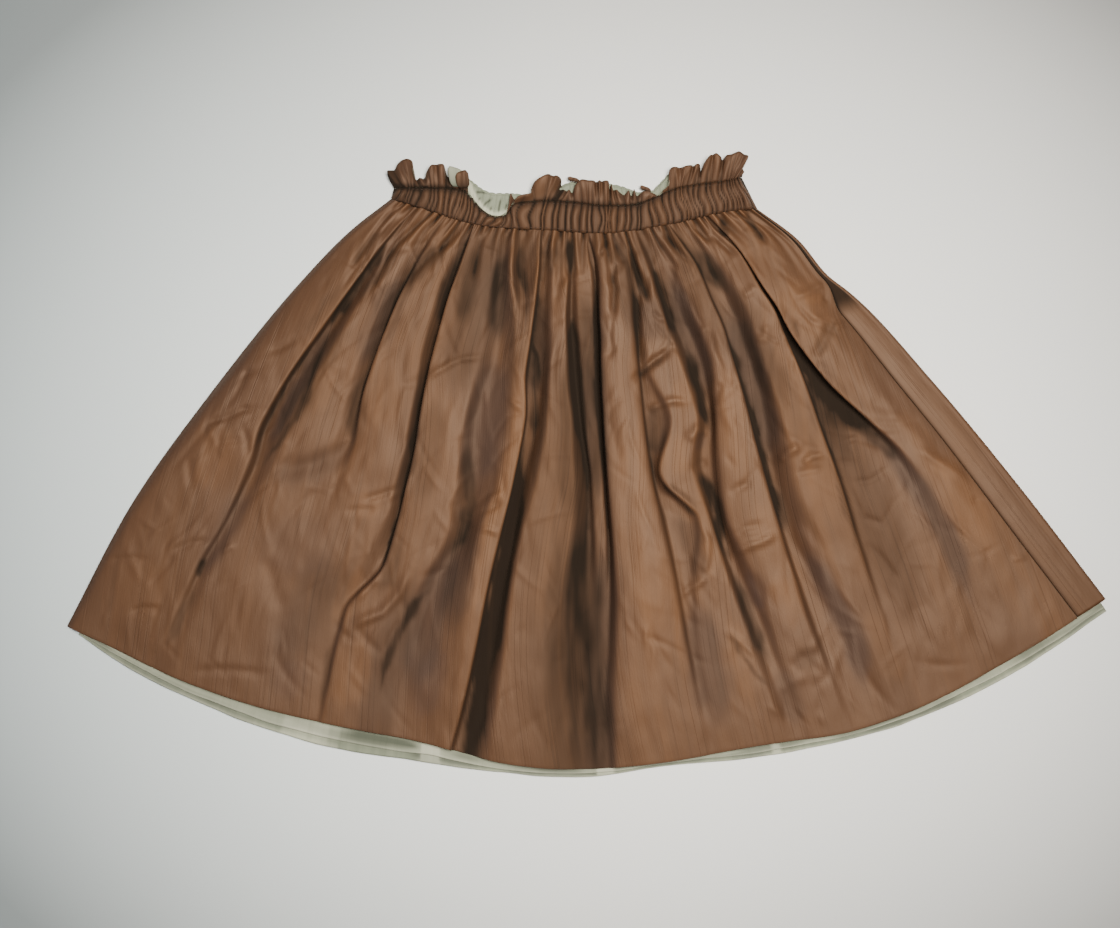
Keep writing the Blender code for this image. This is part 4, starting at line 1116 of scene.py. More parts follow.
@dataclass
class FrontPanel:
    """Front panel: large folds, gathers below the casing, listed creases and fine crinkles."""

    cut: Cut
    wardrobe: Wardrobe
    columns: int = 430
    rows: int = 212
    fine_steps: int = 30
    lowest: float = 4.1
    casing_step: float = 1.2
    casing_fade: float = 0.05
    left_roll: float = 9.0
    edge_share: float = 0.02
    seam_share: float = 0.015
    still_edge: Pair = (7.0, 8.0)
    large_wave: float = 0.75
    small_wave: float = 0.32
    wide_reach: float = 22.0
    close_reach: float = 4.5
    slope_reach: float = 2.5
    flat_width: float = 0.82
    flat_waist: float = 0.68
    flat_length: float = 0.37
    hem_radius: float = 0.00055
    hem_rows: Table = ((35, 0.0), (80, 0.0), (125, 0.0), (180, 0.0), (180, 0.004), (180, 0.010))
    edge_level: float = 0.0011
    edge_columns: Table = ((0.0016, 0.1), (0.0004, 0.25), (-0.0003, 0.6))
    gathers: int = 74
    gather_step: Pair = (0.35, 1.7)
    gather_depth: Pair = (0.8, 3.2)
    gather_reach: Pair = (0.03, 0.10)
    gather_half: Pair = (0.8, 1.7)
    gather_drift: float = 0.006
    crinkles: int = 700
    crinkle_length: Pair = (7, 34)
    crinkle_half: Pair = (1.1, 3.0)
    crinkle_rise: Pair = (0.15, 0.75)
    crinkle_turn: float = 0.32
    crinkle_cross: float = 0.9
    crinkle_sweep: float = 0.012
    seed: int = 11

    def sections(self, t: np.ndarray) -> Tuple[np.ndarray, np.ndarray]:
        """Large form: each section is a smooth curve through the named lines, cut into equal lengths.

        Args:
            t: share down of each section.

        Returns:
            Share across and height in millimetres, sections by columns.
        """
        shares = steady(STATIONS, np.array([line.share for line in LINES.values()]), t).T
        heights = steady(STATIONS, np.array([line.height for line in LINES.values()]), t).T
        count = shares.shape[1]
        fine = np.linspace(0.0, count - 1.0, (count - 1) * self.fine_steps + 1)
        s = steady(np.arange(count), shares, fine)
        level = steady(np.arange(count), heights, fine)
        xy = self.cut.place(s, t[:, None])
        step = np.diff(np.concatenate([xy, level[..., None]], axis=-1), axis=1)
        along = np.cumsum(np.linalg.norm(step, axis=-1), axis=1)
        along = np.concatenate([np.zeros((len(t), 1)), along], axis=1) / along[:, -1:]
        target = np.linspace(0.0, 1.0, self.columns)
        even_s = np.stack([np.interp(target, a, row) for a, row in zip(along, s)])
        even_level = np.stack([np.interp(target, a, row) for a, row in zip(along, level)])
        return even_s, even_level

    def gathered(self, s: np.ndarray, t: np.ndarray) -> np.ndarray:
        """Uneven gathers below the casing: narrow troughs, each with its own depth and length.

        Args:
            s: share across.
            t: share down.

        Returns:
            Height in millimetres.
        """
        random = np.random.default_rng(self.seed)
        places = np.cumsum(random.uniform(*self.gather_step, self.gathers))
        places = 0.012 + 0.968 * places / places[-1]
        depth = random.uniform(*self.gather_depth, self.gathers)
        reach = random.uniform(*self.gather_reach, self.gathers)
        reach = reach * random.choice((1.0, 1.9), self.gathers, p=(0.8, 0.2))
        drift = random.uniform(-self.gather_drift, self.gather_drift, self.gathers)
        half = random.uniform(*self.gather_half, self.gathers)
        width = self.cut.width(t)
        level = np.zeros(s.shape)
        for place, deep, long, shift, narrow in zip(places, depth, reach, drift, half):
            aside = (s - place - shift * t / 0.1) * width
            fade = np.exp(-(t / long) ** 1.5)
            level -= deep * fade * np.exp(-(aside / (narrow * (1 + 1.6 * t / long))) ** 2)
        return level * ease(s / self.edge_share) * ease((self.cut.seam(t) - s) / self.seam_share)

    def shaded(self, xy: np.ndarray, down: np.ndarray, form: np.ndarray, level: np.ndarray) -> np.ndarray:
        """Masks of painted shade and painted light: dark and grey in sunk and steep places, warm on raised
        ones, and along the listed paths.

        A place is sunk by its depth below the mean of its surroundings across the panel, over the
        wide and the close reach, and steep by its rise over its length along the section.

        Args:
            xy: places in table millimetres.
            down: share down.
            form: heights of the large form.
            level: heights with all the detail.

        Returns:
            The three masks at each place.
        """
        run = np.linalg.norm(np.diff(xy, axis=1), axis=-1)
        length = np.sqrt(run ** 2 + np.diff(form, axis=1) ** 2).mean(axis=1)
        tone = np.zeros(xy.shape[:2] + (3,))
        wide, close, steep = np.zeros(form.shape), np.zeros(form.shape), np.zeros(form.shape)
        for row, step in enumerate(length):
            slope = np.gradient(form[row]) / step
            for out, source, reach in ((wide, form[row], self.wide_reach),
                                       (close, level[row], self.close_reach),
                                       (steep, slope, self.slope_reach)):
                window = np.hanning(2 * max(int(reach / step), 1) + 3)
                padded = np.pad(source, len(window) // 2, mode="edge")
                out[row] = np.convolve(padded, window / window.sum(), mode="valid")
        sunk = ease((wide - form - 1.0) / 6.0)
        narrow = ease((close - level) / 1.5) * (0.50 + 0.45 * np.exp(-down / 0.10))
        left_slope = ease((steep - 0.14) / 0.5)
        right_slope = ease((-steep - 0.16) / 0.5)
        sway = 1.7 * waves(xy, 7, 15, 41) + 0.7 * waves(xy, 2.6, 7, 42)
        uneven = xy + np.stack([sway, 2.5 * waves(xy, 9, 12, 43)], axis=-1)
        # Painted shade and painted light along the listed paths, then dark and grey are lessened where the
        # form stands above its surroundings.
        for shading in PAINTED_SHADING:
            shading.add_to(tone, uneven, self.cut)
        tone[..., :2] *= (1.0 - 0.9 * ease((form - wide - 0.3) / 2.2))[..., None]
        tone[..., :2] *= np.array((0.95, 0.85))
        # Painted shade in sunk places and on steep slopes, painted light on raised places.
        tone[..., 0] += 0.40 * sunk + narrow + 0.26 * right_slope + 0.10 * left_slope
        tone[..., 1] += 0.42 * left_slope + 0.20 * right_slope + 0.10 * sunk
        tone[..., 2] += 0.6 * ease((level - close) / 1.2) + 0.35 * ease((form - wide) / 5.0)
        for shading in SHADE:
            shading.add_to(tone, uneven, self.cut)
        tone[..., 0] *= 1.0 + 0.16 * waves(xy, 3.2, 22, 44) + 0.12 * waves(xy, 9, 30, 45)
        return tone

    def crinkled(self, xy: np.ndarray, s: np.ndarray, t: np.ndarray) -> np.ndarray:
        """Small crinkles along the grain: strokes with a Gaussian section that fade at their ends.

        Args:
            xy: places in table millimetres.
            s: share across.
            t: share down; not used.

        Returns:
            Height in millimetres.
        """
        random = np.random.default_rng(self.seed + 1)
        level = np.zeros(s.shape)
        centre_s = random.uniform(0.02, 0.93, self.crinkles)
        centre_t = random.uniform(0.06, 0.97, self.crinkles)
        length = random.uniform(*self.crinkle_length, self.crinkles)
        half = random.uniform(*self.crinkle_half, self.crinkles)
        rise = random.uniform(*self.crinkle_rise, self.crinkles)
        rise = rise * random.choice((-1.0, 1.0), self.crinkles, p=(0.6, 0.4))
        turn = random.normal(0.0, self.crinkle_turn, self.crinkles)
        cross = random.uniform(0, 1, self.crinkles) < 0.25
        across = random.choice((-self.crinkle_cross, self.crinkle_cross), self.crinkles)
        turn = np.where(cross, turn + across, turn)
        centre = self.cut.place(centre_s, centre_t)
        grain = self.cut.place(centre_s, centre_t + 0.02) - centre
        angle = np.arctan2(grain[:, 1], grain[:, 0]) + turn
        for c, a, l, h, r in zip(centre, angle, length, half, rise):
            near = np.all(np.abs(xy - c) < l, axis=-1)
            away = xy[near] - c
            along = away[:, 0] * np.cos(a) + away[:, 1] * np.sin(a)
            aside = -away[:, 0] * np.sin(a) + away[:, 1] * np.cos(a) - self.crinkle_sweep * along ** 2 / 2
            level[near] += r * np.exp(-(aside / h) ** 2) * ease(1 - np.abs(along) / l)
        return level

    def surface(self) -> Surface:
        """Grid of the panel's upper face, its places on the flat cloth, and its tones.

        Returns:
            Points in the frame in metres, flat places in metres, and the masks of tone.
        """
        t = np.linspace(0.0, 1.0, self.rows - len(self.hem_rows)) ** 1.08
        s, form = self.sections(t)
        down = np.broadcast_to(t[:, None], s.shape)
        xy = self.cut.place(s, down)
        level = form + self.casing_step * np.exp(-down / self.casing_fade) * ease(s / self.edge_share)
        level = level + self.gathered(s, down)
        width = self.cut.width(down)
        left, right = self.still_edge
        inside = ease(s * width / left) * ease((self.cut.seam(down) - s) * width / right)
        detail = self.crinkled(xy, s, down)
        for crease in CREASES:
            crease.add_to(detail, xy, self.cut)
        detail = detail + self.large_wave * waves(xy, 24, 30, 5)
        detail = detail + self.small_wave * waves(xy, 9, 14, 6)
        level = level + detail * inside * ease(down / 0.03)
        level = np.maximum(level, np.where(s * width < self.left_roll, 0.0, self.lowest))
        tone = self.shaded(xy, down, form, level)
        grid = in_frame(xy, level)
        share = np.linspace(0.0, 1.0, self.columns)[None, :]
        narrowed = self.flat_waist + (1 - self.flat_waist) * down
        across = (0.5 + (share - 0.5) * narrowed) * self.flat_width
        flat = np.stack([across, -down * self.flat_length], axis=-1)
        hem, hem_flat = self.turned(grid, flat)
        grid = np.concatenate([grid, hem])
        flat = np.concatenate([flat, hem_flat])
        grid, flat = self.rolled_edge(grid, flat)
        edges = ((0, len(hem)), (flat.shape[1] - self.columns, 0), (0, 0))
        return grid, flat, np.pad(tone, edges, mode="edge")

    def turned(self, grid: np.ndarray, flat: np.ndarray) -> Tuple[np.ndarray, np.ndarray]:
        """Hem turned under: more rows round a small half circle and back below the panel.

        Each row has its angle in degrees and its way back in metres.

        Args:
            grid: the panel's points in metres.
            flat: its flat places.

        Returns:
            The new rows and their flat places.
        """
        outward = grid[-1] - grid[-4]
        outward[:, 2] = 0.0
        outward /= np.linalg.norm(outward, axis=1)[:, None]
        rows, flats = [], []
        for angle, inward in self.hem_rows:
            turn = angle * np.pi / 180
            point = grid[-1] + outward * (self.hem_radius * np.sin(turn) - inward)
            point[:, 2] = grid[-1, :, 2] - self.hem_radius * (1 - np.cos(turn))
            rows.append(point)
            flats.append(flat[-1] - np.array((0.0, self.hem_radius * turn + inward)))
        return np.array(rows), np.array(flats)

    def rolled_edge(self, grid: np.ndarray, flat: np.ndarray) -> Tuple[np.ndarray, np.ndarray]:
        """Left edge rolled down to the back panel: more columns that go down and in.

        Each column has its way inwards in metres and the share of its height that is left.

        Args:
            grid: the panel's points in metres.
            flat: its flat places.

        Returns:
            The wider grid and its flat places.
        """
        first, flats = [], []
        inward = grid[:, 4] - grid[:, 0]
        inward[:, 2] = 0.0
        inward /= np.linalg.norm(inward, axis=1)[:, None]
        for move, left in self.edge_columns:
            point = grid[:, 0] + inward * move
            point[:, 2] = self.edge_level + (grid[:, 0, 2] - self.edge_level) * left
            first.append(point)
            flats.append(flat[:, 0] - np.array((0.001 + move, 0.0)))
        grid = np.concatenate([np.stack(first, axis=1), grid], axis=1)
        flat = np.concatenate([np.stack(flats, axis=1), flat], axis=1)
        return grid, flat

    def build(self) -> bpy.types.Object:
        """Front panel as one open sheet with its hem turned under.

        Returns:
            The piece.
        """
        grid, flat, tone = self.surface()
        made = Cloth.piece("front_panel_cloth", grid, flat, [self.wardrobe.cloth(LEATHER)], tone=tone)
        tie(made, "front_panel")
        return made


@dataclass
class BackPanel:
    """Back panel: flat on the ground, round the right-hand edge and back over to the side seam."""

    cut: Cut
    wardrobe: Wardrobe
    rows: int = 200
    over: int = 14
    turn: int = 12
    under: int = 60
    stack: float = 5.0
    seam_gap: float = 0.3
    wall: float = 1.0
    flat_width: float = 0.82
    flat_length: float = 0.37

    def surface(self) -> Surface:
        """Outer face: the strip, a half circle of the stack's height round the edge, the underside.

        Returns:
            Points in metres, flat places in metres, and the masks of tone.
        """
        radius = self.stack / 2
        angle = np.linspace(np.pi / 2, -np.pi / 2, self.turn)
        sections, flats, tones = [], [], []
        for t in np.linspace(0.0008, 1.0, self.rows):
            width = self.cut.width(t)
            seam = self.cut.seam(t) + self.seam_gap / width
            straight = 1.0 - radius / width
            outward = self.cut.place(1.0, t) - self.cut.place(straight, t)
            outward = outward / np.linalg.norm(outward)
            shares = np.linspace(seam, straight, self.over + 1)[:-1]
            xy = self.cut.place(shares, t)
            down = np.linspace(0.0, 1.0, self.over)
            pucker = 0.22 * noise(np.full(self.over, t * 30.0), down * 1.2, 31) * np.sin(np.pi * down)
            lift = (self.cut.seam_level(t) - 0.3 - self.stack) * (1 - down) + 0.8 * np.sin(np.pi * down)
            strip = in_frame(xy, self.stack + pucker + lift)
            centre = self.cut.place(1.0, t) - radius * outward
            round_xy = centre + radius * np.cos(angle)[:, None] * outward
            edge = in_frame(round_xy, radius + radius * np.sin(angle))
            below = in_frame(self.cut.place(np.linspace(straight, 0.0, self.under + 1)[1:], t), 0.0)
            section = np.concatenate([strip, edge, below])
            sections.append(section)
            tone = np.zeros((len(section), 3))
            # Painted shade along the side seam; the strip is also darker over its upper part and warmer in
            # random patches lower down.
            tone[:self.over, 0] = 0.5 * np.exp(-(down * self.over / 1.2) ** 2) + 0.9 * ease((0.31 - t) / 0.05)
            warm = noise(down * 2, np.full(self.over, t * 9.0), 33)
            tone[:self.over, 2] = 0.35 * ease((t - 0.3) / 0.2) * warm
            tones.append(tone)
            run = np.concatenate([[0.0], np.cumsum(np.linalg.norm(np.diff(section, axis=0), axis=1))])
            flats.append(np.stack([run + 0.1, np.full(len(run), -t * self.flat_length)], axis=1))
        return np.array(sections), np.array(flats), np.array(tones)

    def build(self) -> bpy.types.Object:
        """Back panel with its wall inwards.

        Returns:
            The piece.
        """
        grid, flat, tone = self.surface()
        made = Cloth.piece("back_panel_cloth", grid, flat, [self.wardrobe.cloth(LEATHER)], self.wall, tone)
        tie(made, "back_panel")
        return made


@dataclass
class Lining:
    """Lining panel between the leather panels, whose hem shows below the skirt's."""

    cut: Cut
    wardrobe: Wardrobe
    name: str
    node: str
    level: float
    reach_column: int
    finish: ClothFinish
    seed: int
    rests_on: str
    columns: int = 460
    rows: int = 26
    wall: float = 0.8
    inset: Tuple[float, float] = (9.0, 4.5)
    pale: Table = (
        (.215, .262, .4), (.27, .342, -.7), (.3425, .362, .9), (.503, .521, 1), (.664, .674, .9))
    flat_width: float = 0.80
    flat_length: float = 0.375
    flat_hem: float = 0.014
    hem_shares: Tuple[float, ...] = (0.25, 0.5, 0.75, 0.93, 1.0)

    def fabric(self, s: np.ndarray, length: float) -> np.ndarray:
        """Places on the flat cloth in metres, at a length down it."""
        return np.stack([s * self.flat_width, np.full(s.size, -length)], axis=1)

    def surface(self) -> Surface:
        """Upper face: the plan between its insets, drawn out below the hem by the hem's own reach.

        Returns:
            Points in metres, flat places in metres, and the masks of tone.
        """
        t = np.concatenate([np.linspace(0.0016, 0.96, self.rows - 9), np.linspace(0.965, 1.0, 4)])
        sections, flats = [], []
        for row in t:
            width = self.cut.width(row)
            s = np.linspace(self.inset[0] / width, 1.0 - self.inset[1] / width, self.columns)
            sections.append(in_frame(self.cut.place(s, row), self.level + self.wall))
            flats.append(self.fabric(s, row * self.flat_length))
        # Painted shade under the skirt: the lining's body, which lies beneath the front panel, is half dark.
        tones = [np.stack([0.5 + 0 * s, 0 * s, 0 * s], axis=1) for _ in t]
        hem = self.cut.place(s, 1.0)
        down = hem - self.cut.place(s, 0.97)
        down /= np.linalg.norm(down, axis=1)[:, None]
        reach = smooth(self.cut.hem, s)[:, self.reach_column, None]
        reach = np.maximum(reach + 0.5 * noise(s[:, None] * 40, 0 * s[:, None], self.seed), 0.4)
        wave = 0.25 * noise(s * 60, 0 * s, self.seed + 1)
        for share in self.hem_shares:
            lift = wave * share - (0.25 if share == 1.0 else 0.0)
            sections.append(in_frame(hem + down * reach * share, self.level + self.wall + lift))
            flats.append(self.fabric(s, self.flat_length + share * self.flat_hem))
            # Painted shadow of the skirt's hem: darker near the hem and mottled at random, paler and warmer
            # towards the outer edge and in the pale blocks, which darken it where their strength is negative.
            mottled = ease(0.5 + 0.9 * noise(s * 34, np.full(s.size, share * 2.0), self.seed + 2))
            dark = (0.18 + 0.42 * mottled) * ease((1.02 - share) / 0.4)
            warm = 0.75 * ease((share - 0.7) / 0.3)
            for start, end, strength in self.pale:
                block = strength * ease((s - start) / 0.001) * ease((end - s) / 0.004)
                dark, warm = dark * (1 - block), warm + block
            tones.append(np.stack([dark, 0.4 * mottled, warm], axis=1))
        return np.array(sections), np.array(flats), np.array(tones)

    def build(self) -> bpy.types.Object:
        """Lining panel with its wall below.

        Returns:
            The piece.
        """
        grid, flat, tone = self.surface()
        made = Cloth.piece(self.name, grid, flat, [self.wardrobe.cloth(self.finish)], self.wall, tone)
        tie(made, self.node)
        return made


@dataclass(frozen=True)
class Leaf:
    """Small curled leaf of the ruffle: corners, heights, bulge, side that shows and painted shade at its
    lower edge.

    The corners are upper left, upper right, lower right and lower left in table millimetres, and
    the levels are the heights of its upper and lower edges.
    """

    name: str
    corners: Table
    levels: Tuple[float, float]
    bulge: float
    finish: ClothFinish
    dark: float


@dataclass
class Waist:
    """Elasticated waist: front and back casing, front and back ruffle, and the inner heading."""

    cut: Cut
    wardrobe: Wardrobe
    casing_top: Table = (
        (0, -137, 192.5), (.1, -112, 192.5), (.15, -98, 192), (.185, -89, 190.6), (.205, -84.6, 188),
        (.225, -81.2, 183.6), (.25, -75.1, 176.7), (.28, -67.2, 172.4), (.305, -60, 173.2),
        (.32, -56.6, 175.8), (.335, -54.2, 180.2), (.37, -38.5, 183), (.43, -21, 183), (.59, 15, 180),
        (.655, 32, 181), (.71, 45.5, 186), (.755, 57, 191), (.83, 76, 195), (.9, 93, 197), (1, 106, 200))
    back_casing_top: Table = (
        (0, -137, 190), (.12, -105, 188), (.25, -76, 181), (.42, -24, 180), (.58, 12, 179), (.75, 56, 186),
        (1, 106, 198))
    back_ruffle_top: Table = (
        (0, -134, 196), (.14, -99, 198), (.2, -84.5, 198.8), (.225, -78.5, 194), (.25, -73, 190.6),
        (.33, -55, 188.8), (.4, -38, 189), (.44, -22, 193.5), (.47, -14, 196.4), (.5, -6, 195),
        (.55, 5, 194), (.595, 14, 195.2), (.64, 25, 192.8), (.67, 34, 189.8), (.7, 43, 190.6),
        (.735, 50, 197), (.77, 57, 203.2), (.8, 68, 203), (.9, 90, 205), (1, 104, 203))
    ruffle_edge: Table = (
        (0, -138.2, 195, 3.4), (.008, -140.4, 199, 5), (.015, -141.4, 204, 6.5), (.022, -138.6, 204.8, 5),
        (.029, -136.4, 205.2, 4), (.036, -134.6, 208.6, 5.5), (.046, -130.4, 211.6, 8),
        (.055, -126.3, 212, 9.5), (.063, -123.2, 209, 11), (.069, -122.8, 204, 9), (.074, -121.8, 199, 4),
        (.084, -118.6, 199.6, 5.5), (.092, -115.6, 199.2, 4), (.1, -114, 203.6, 6),
        (.111, -110.2, 208.2, 8.5), (.118, -107.4, 208.4, 6.5), (.126, -104.6, 208.6, 9),
        (.135, -101.4, 207.4, 8), (.14, -100.4, 203, 3.5), (.153, -97.6, 199.6, 4.5),
        (.167, -94.4, 200.6, 7), (.176, -90.6, 202.6, 9), (.184, -87, 203.6, 8.6), (.19, -85.8, 199, 5),
        (.196, -85, 190.6, 4.4), (.215, -81.4, 184.2, 5), (.239, -75.3, 177.4, 5), (.267, -67.2, 173, 5),
        (.291, -59.8, 173.8, 5), (.305, -57.4, 176.4, 5), (.313, -56.6, 181.5, 5.5),
        (.319, -55.4, 188.6, 7), (.325, -53.2, 184.8, 5), (.334, -50.4, 186.2, 8), (.346, -46.2, 187.6, 9),
        (.357, -42.2, 188.2, 9), (.364, -40.4, 189.6, 8), (.37, -40.6, 193, 7), (.376, -38, 197, 9.5),
        (.382, -33, 200, 11), (.388, -29, 201.5, 10), (.393, -26, 200.5, 8), (.398, -23, 200.5, 9.5),
        (.403, -20.5, 199, 6), (.412, -20, 194, 3), (.425, -17, 190.5, 4.5), (.445, -14.5, 191, 7),
        (.462, -12.5, 189, 5), (.48, -10.5, 194, 8), (.495, -7, 197.5, 9.5), (.516, -1.5, 197.3, 9),
        (.537, 3, 197, 8), (.545, 4.5, 196.5, 5), (.554, 6.5, 197.5, 8), (.562, 8, 197, 5.5),
        (.57, 10.5, 197.3, 8), (.579, 13, 196.8, 6), (.587, 13.5, 192.5, 3.5), (.595, 14.8, 194.8, 7.5),
        (.603, 16.2, 191, 4.5), (.611, 18.3, 191, 7), (.62, 20.8, 189.5, 4.5), (.632, 24, 187.5, 6),
        (.64, 27, 190.4, 7.5), (.646, 28.6, 186.8, 4.5), (.655, 30.8, 191.2, 8), (.661, 32.5, 187, 4.5),
        (.669, 36, 189.5, 6.5), (.681, 40, 190, 7), (.694, 43.7, 188.6, 6.5), (.706, 47, 187.5, 5),
        (.728, 51, 191, 6.5), (.743, 54.5, 196, 7.5), (.75, 54.8, 203.5, 8), (.757, 56.5, 206, 9),
        (.766, 60, 206.5, 9.5), (.773, 62.5, 206.3, 6.5), (.783, 66.5, 207.3, 9.5), (.792, 70.5, 207.8, 9),
        (.799, 71.8, 207.5, 6), (.808, 74, 208.7, 9), (.815, 76.4, 208.3, 7.5), (.822, 77, 204, 4),
        (.832, 78.5, 208, 7), (.841, 81, 212, 9), (.85, 83.5, 214.5, 10), (.857, 85.3, 215.2, 8),
        (.867, 87.5, 216, 10), (.879, 91, 213.5, 9), (.888, 92.2, 212, 4.5), (.898, 94.3, 214.5, 7.5),
        (.913, 98.5, 215.5, 9), (.93, 103.5, 217.3, 9.5), (.946, 107, 215.5, 8), (.96, 110, 213.5, 9.5),
        (.97, 108, 209, 7), (.982, 106.5, 205.5, 5), (.988, 107.5, 203.5, 5.5), (.994, 106.5, 202.5, 4.5),
        (1, 106.5, 201.5, 3))
    rim: Table = (
        (-84.4, 198), (-83.2, 191), (-80.6, 185.2), (-74.6, 177.8), (-67.2, 173.6), (-60.6, 174.6),
        (-57.4, 177.4))
    heading_creases: Tuple[Table, ...] = (
        ((-76.6, 177.8), (-72.6, 182.2), (-68.6, 185.2)), ((-64.2, 174.6), (-63.4, 180), (-62.2, 185.4)),
        ((-70.4, 176), (-68.8, 179.4)), ((-59.4, 177), (-58.2, 181.6)), ((-80.4, 189.8), (-70.4, 189.6)),
        ((-81.4, 194.8), (-76, 193.6)), ((-79.4, 183.4), (-76.6, 185.8)))
    leaves: Tuple[Leaf, ...] = (
        Leaf("ruffle_curl_cloth", ((-100, 208.2), (-87.6, 204), (-86.2, 193.4), (-97, 192.4)), (9.0, 8.2),
             1.2, CREAM, 0.8),
        Leaf("ruffle_fold_cloth", ((-94.2, 201.8), (-85, 205), (-83.4, 192), (-92.4, 191.6)), (10.6, 9.2),
             1.0, LEATHER, 0.7),
        Leaf("back_glimpse_1_cloth", ((-15.6, 201), (-7.6, 199), (-7.6, 196), (-15.6, 198)), (4.2, 4.0),
             0.4, LEATHER, 0.8),
        Leaf("back_glimpse_2_cloth", ((35, 195), (42.4, 192.2), (42.4, 189.4), (35, 191.8)), (4.2, 4.0),
             0.4, LEATHER, 0.8))
    ribs: int = 62
    columns: int = 560
    casing_rows: int = 12
    ruffle_columns: int = 500
    ruffle_rows: int = 12
    back_columns: int = 300
    back_rows: Tuple[int, int] = (6, 8)
    heading_columns: int = 620
    heading_rows: int = 34
    round_length: float = 0.56
    casing_height: float = 0.02
    ruffle_height: float = 0.016
    casing_level: float = 6.3
    casing_crown: float = 1.4
    casing_drop: float = 0.8
    casing_gap: float = -0.3
    rib_step: Pair = (0.35, 1.7)
    rib_rise: float = 2.0
    rib_swell: float = 0.8
    root_drop: float = 1.2
    root_rise: float = 1.6
    root_gap: float = 0.2
    ruffle_bulge: float = 0.8
    ruffle_pleat: float = 0.7
    back_rib: float = 0.2
    end_level: float = 2.4
    end_turn: float = 7.0
    lowest_ruffle: float = 2.9
    wall: float = 0.9
    thin_wall: float = 0.6
    back_wall: float = 1.8
    heading_wall: float = 0.8
    leaf_wall: float = 0.5
    heading_level: float = 2.3
    seam_gap: float = 0.3
    seed: int = 23

    def turned(self, s: np.ndarray) -> np.ndarray:
        """Share, 0 at the waist's two ends, by which the front casing has risen over the back."""
        length = np.linalg.norm(np.diff(smooth(self.cut.waist, np.linspace(0, 1, 200)), axis=0), axis=1).sum()
        return np.sin(np.clip(np.minimum(s, 1 - s) * length / self.end_turn, 0, 1) * np.pi / 2)

    def fabric(self, s: np.ndarray, height: float) -> np.ndarray:
        """Places on the flat band in metres, at a height above the casing's lower edge."""
        return np.stack([s * self.round_length, np.full(s.size, height)], axis=1)

    def rib(self, s: np.ndarray, down: float) -> np.ndarray:
        """Uneven ribs of the casing, between 0 and 1: rounded ridges with sharp troughs between.

        Args:
            s: share across.
            down: share down the casing.

        Returns:
            Height share.
        """
        random = np.random.default_rng(self.seed)
        edges = np.concatenate([[0.0], np.cumsum(random.uniform(*self.rib_step, self.ribs))])
        edges /= edges[-1]
        slant = np.interp(s, (0.0, 0.3, 0.55, 0.88, 1.0), (0.022, 0.013, 0.0, -0.020, -0.012))
        sway = 0.004 * np.sin(2 * np.pi * down) * ease((s - 0.6) / 0.2)
        at = s + slant * (down - 0.5) + sway
        at = at + 0.0055 * noise(s * 34, np.full_like(s, down * 2.0), self.seed + 1)
        phase = np.interp(at, edges, np.arange(self.ribs + 1))
        number = np.clip(phase.astype(int), 0, self.ribs + 1)
        size = random.uniform(0.5, 1.0, self.ribs + 2)[number]
        start = random.uniform(-0.7, 0.25, self.ribs + 2)[number]
        short = 0.68 + 0.32 * ease((down - start) / 0.3)
        return size * short * np.abs(np.sin(np.pi * phase)) ** 0.6

    def casing(self, s: np.ndarray, fraction: float) -> Tuple[np.ndarray, np.ndarray]:
        """Front casing's outer face: a low crown across its height, with the ribs on it.

        Args:
            s: share across.
            fraction: share up the casing.

        Returns:
            Points in metres, and the height share of the ribs there.
        """
        low, high = smooth(self.cut.waist, s), smooth(self.casing_top, s)
        turn = self.turned(s)
        crown = self.casing_level + self.casing_crown * np.sin(np.pi * fraction) ** 0.6 - self.casing_drop
        depth = self.rib_rise + self.rib_swell * np.sin(np.pi * fraction)
        rib = self.rib(s, 1 - fraction)
        level = self.end_level + (crown - self.end_level) * turn + depth * rib * turn
        return in_frame(between(low, high, fraction, low_gap=self.casing_gap), level), rib

    def seam_shade(self, s: np.ndarray) -> np.ndarray:
        """Darkness along the line between casing and ruffle: deep at the left, faint at the right."""
        return np.interp(s, (0.0, 0.18, 0.32, 0.60, 0.72, 0.80, 1.0), (1.0, 1.0, 0.75, 0.65, 0.7, 0.2, 0.25))

    def front_casing(self) -> bpy.types.Object:
        """Front casing, with painted shade in the troughs between its ribs and along its upper edge, and
        painted light on the rib tops.

        Returns:
            The piece.
        """
        s = np.linspace(0.0, 1.0, self.columns)
        sections, flats, tones = [], [], []
        for fraction in np.linspace(1.0, 0.0, self.casing_rows):
            points, rib = self.casing(s, fraction)
            sections.append(points)
            flats.append(self.fabric(s, fraction * self.casing_height))
            # Painted shade in the troughs, along the upper edge and in patches along the lower edge; painted
            # light on the rib tops; darker towards the left end.
            under = self.seam_shade(s) * max(1 - 4.0 * (1 - fraction), 0.0)
            under += 0.25 * max(1 - 7 * fraction, 0.0) * ease(0.5 + noise(s * 45, 0 * s, 9))
            end = ease((0.14 - s) / 0.12)
            dark = 0.18 + 1.0 * ease((0.52 - rib) / 0.45) + 0.75 * under + 0.25 * end
            tones.append(np.stack([dark, 0.25 + 0 * s, 0.5 * ease((rib - 0.6) / 0.4)], axis=1))
        made = Cloth.piece("front_casing_cloth", np.array(sections), np.array(flats),
                           [self.wardrobe.cloth(LEATHER)], self.wall, np.array(tones))
        return tie(made, "front_casing")

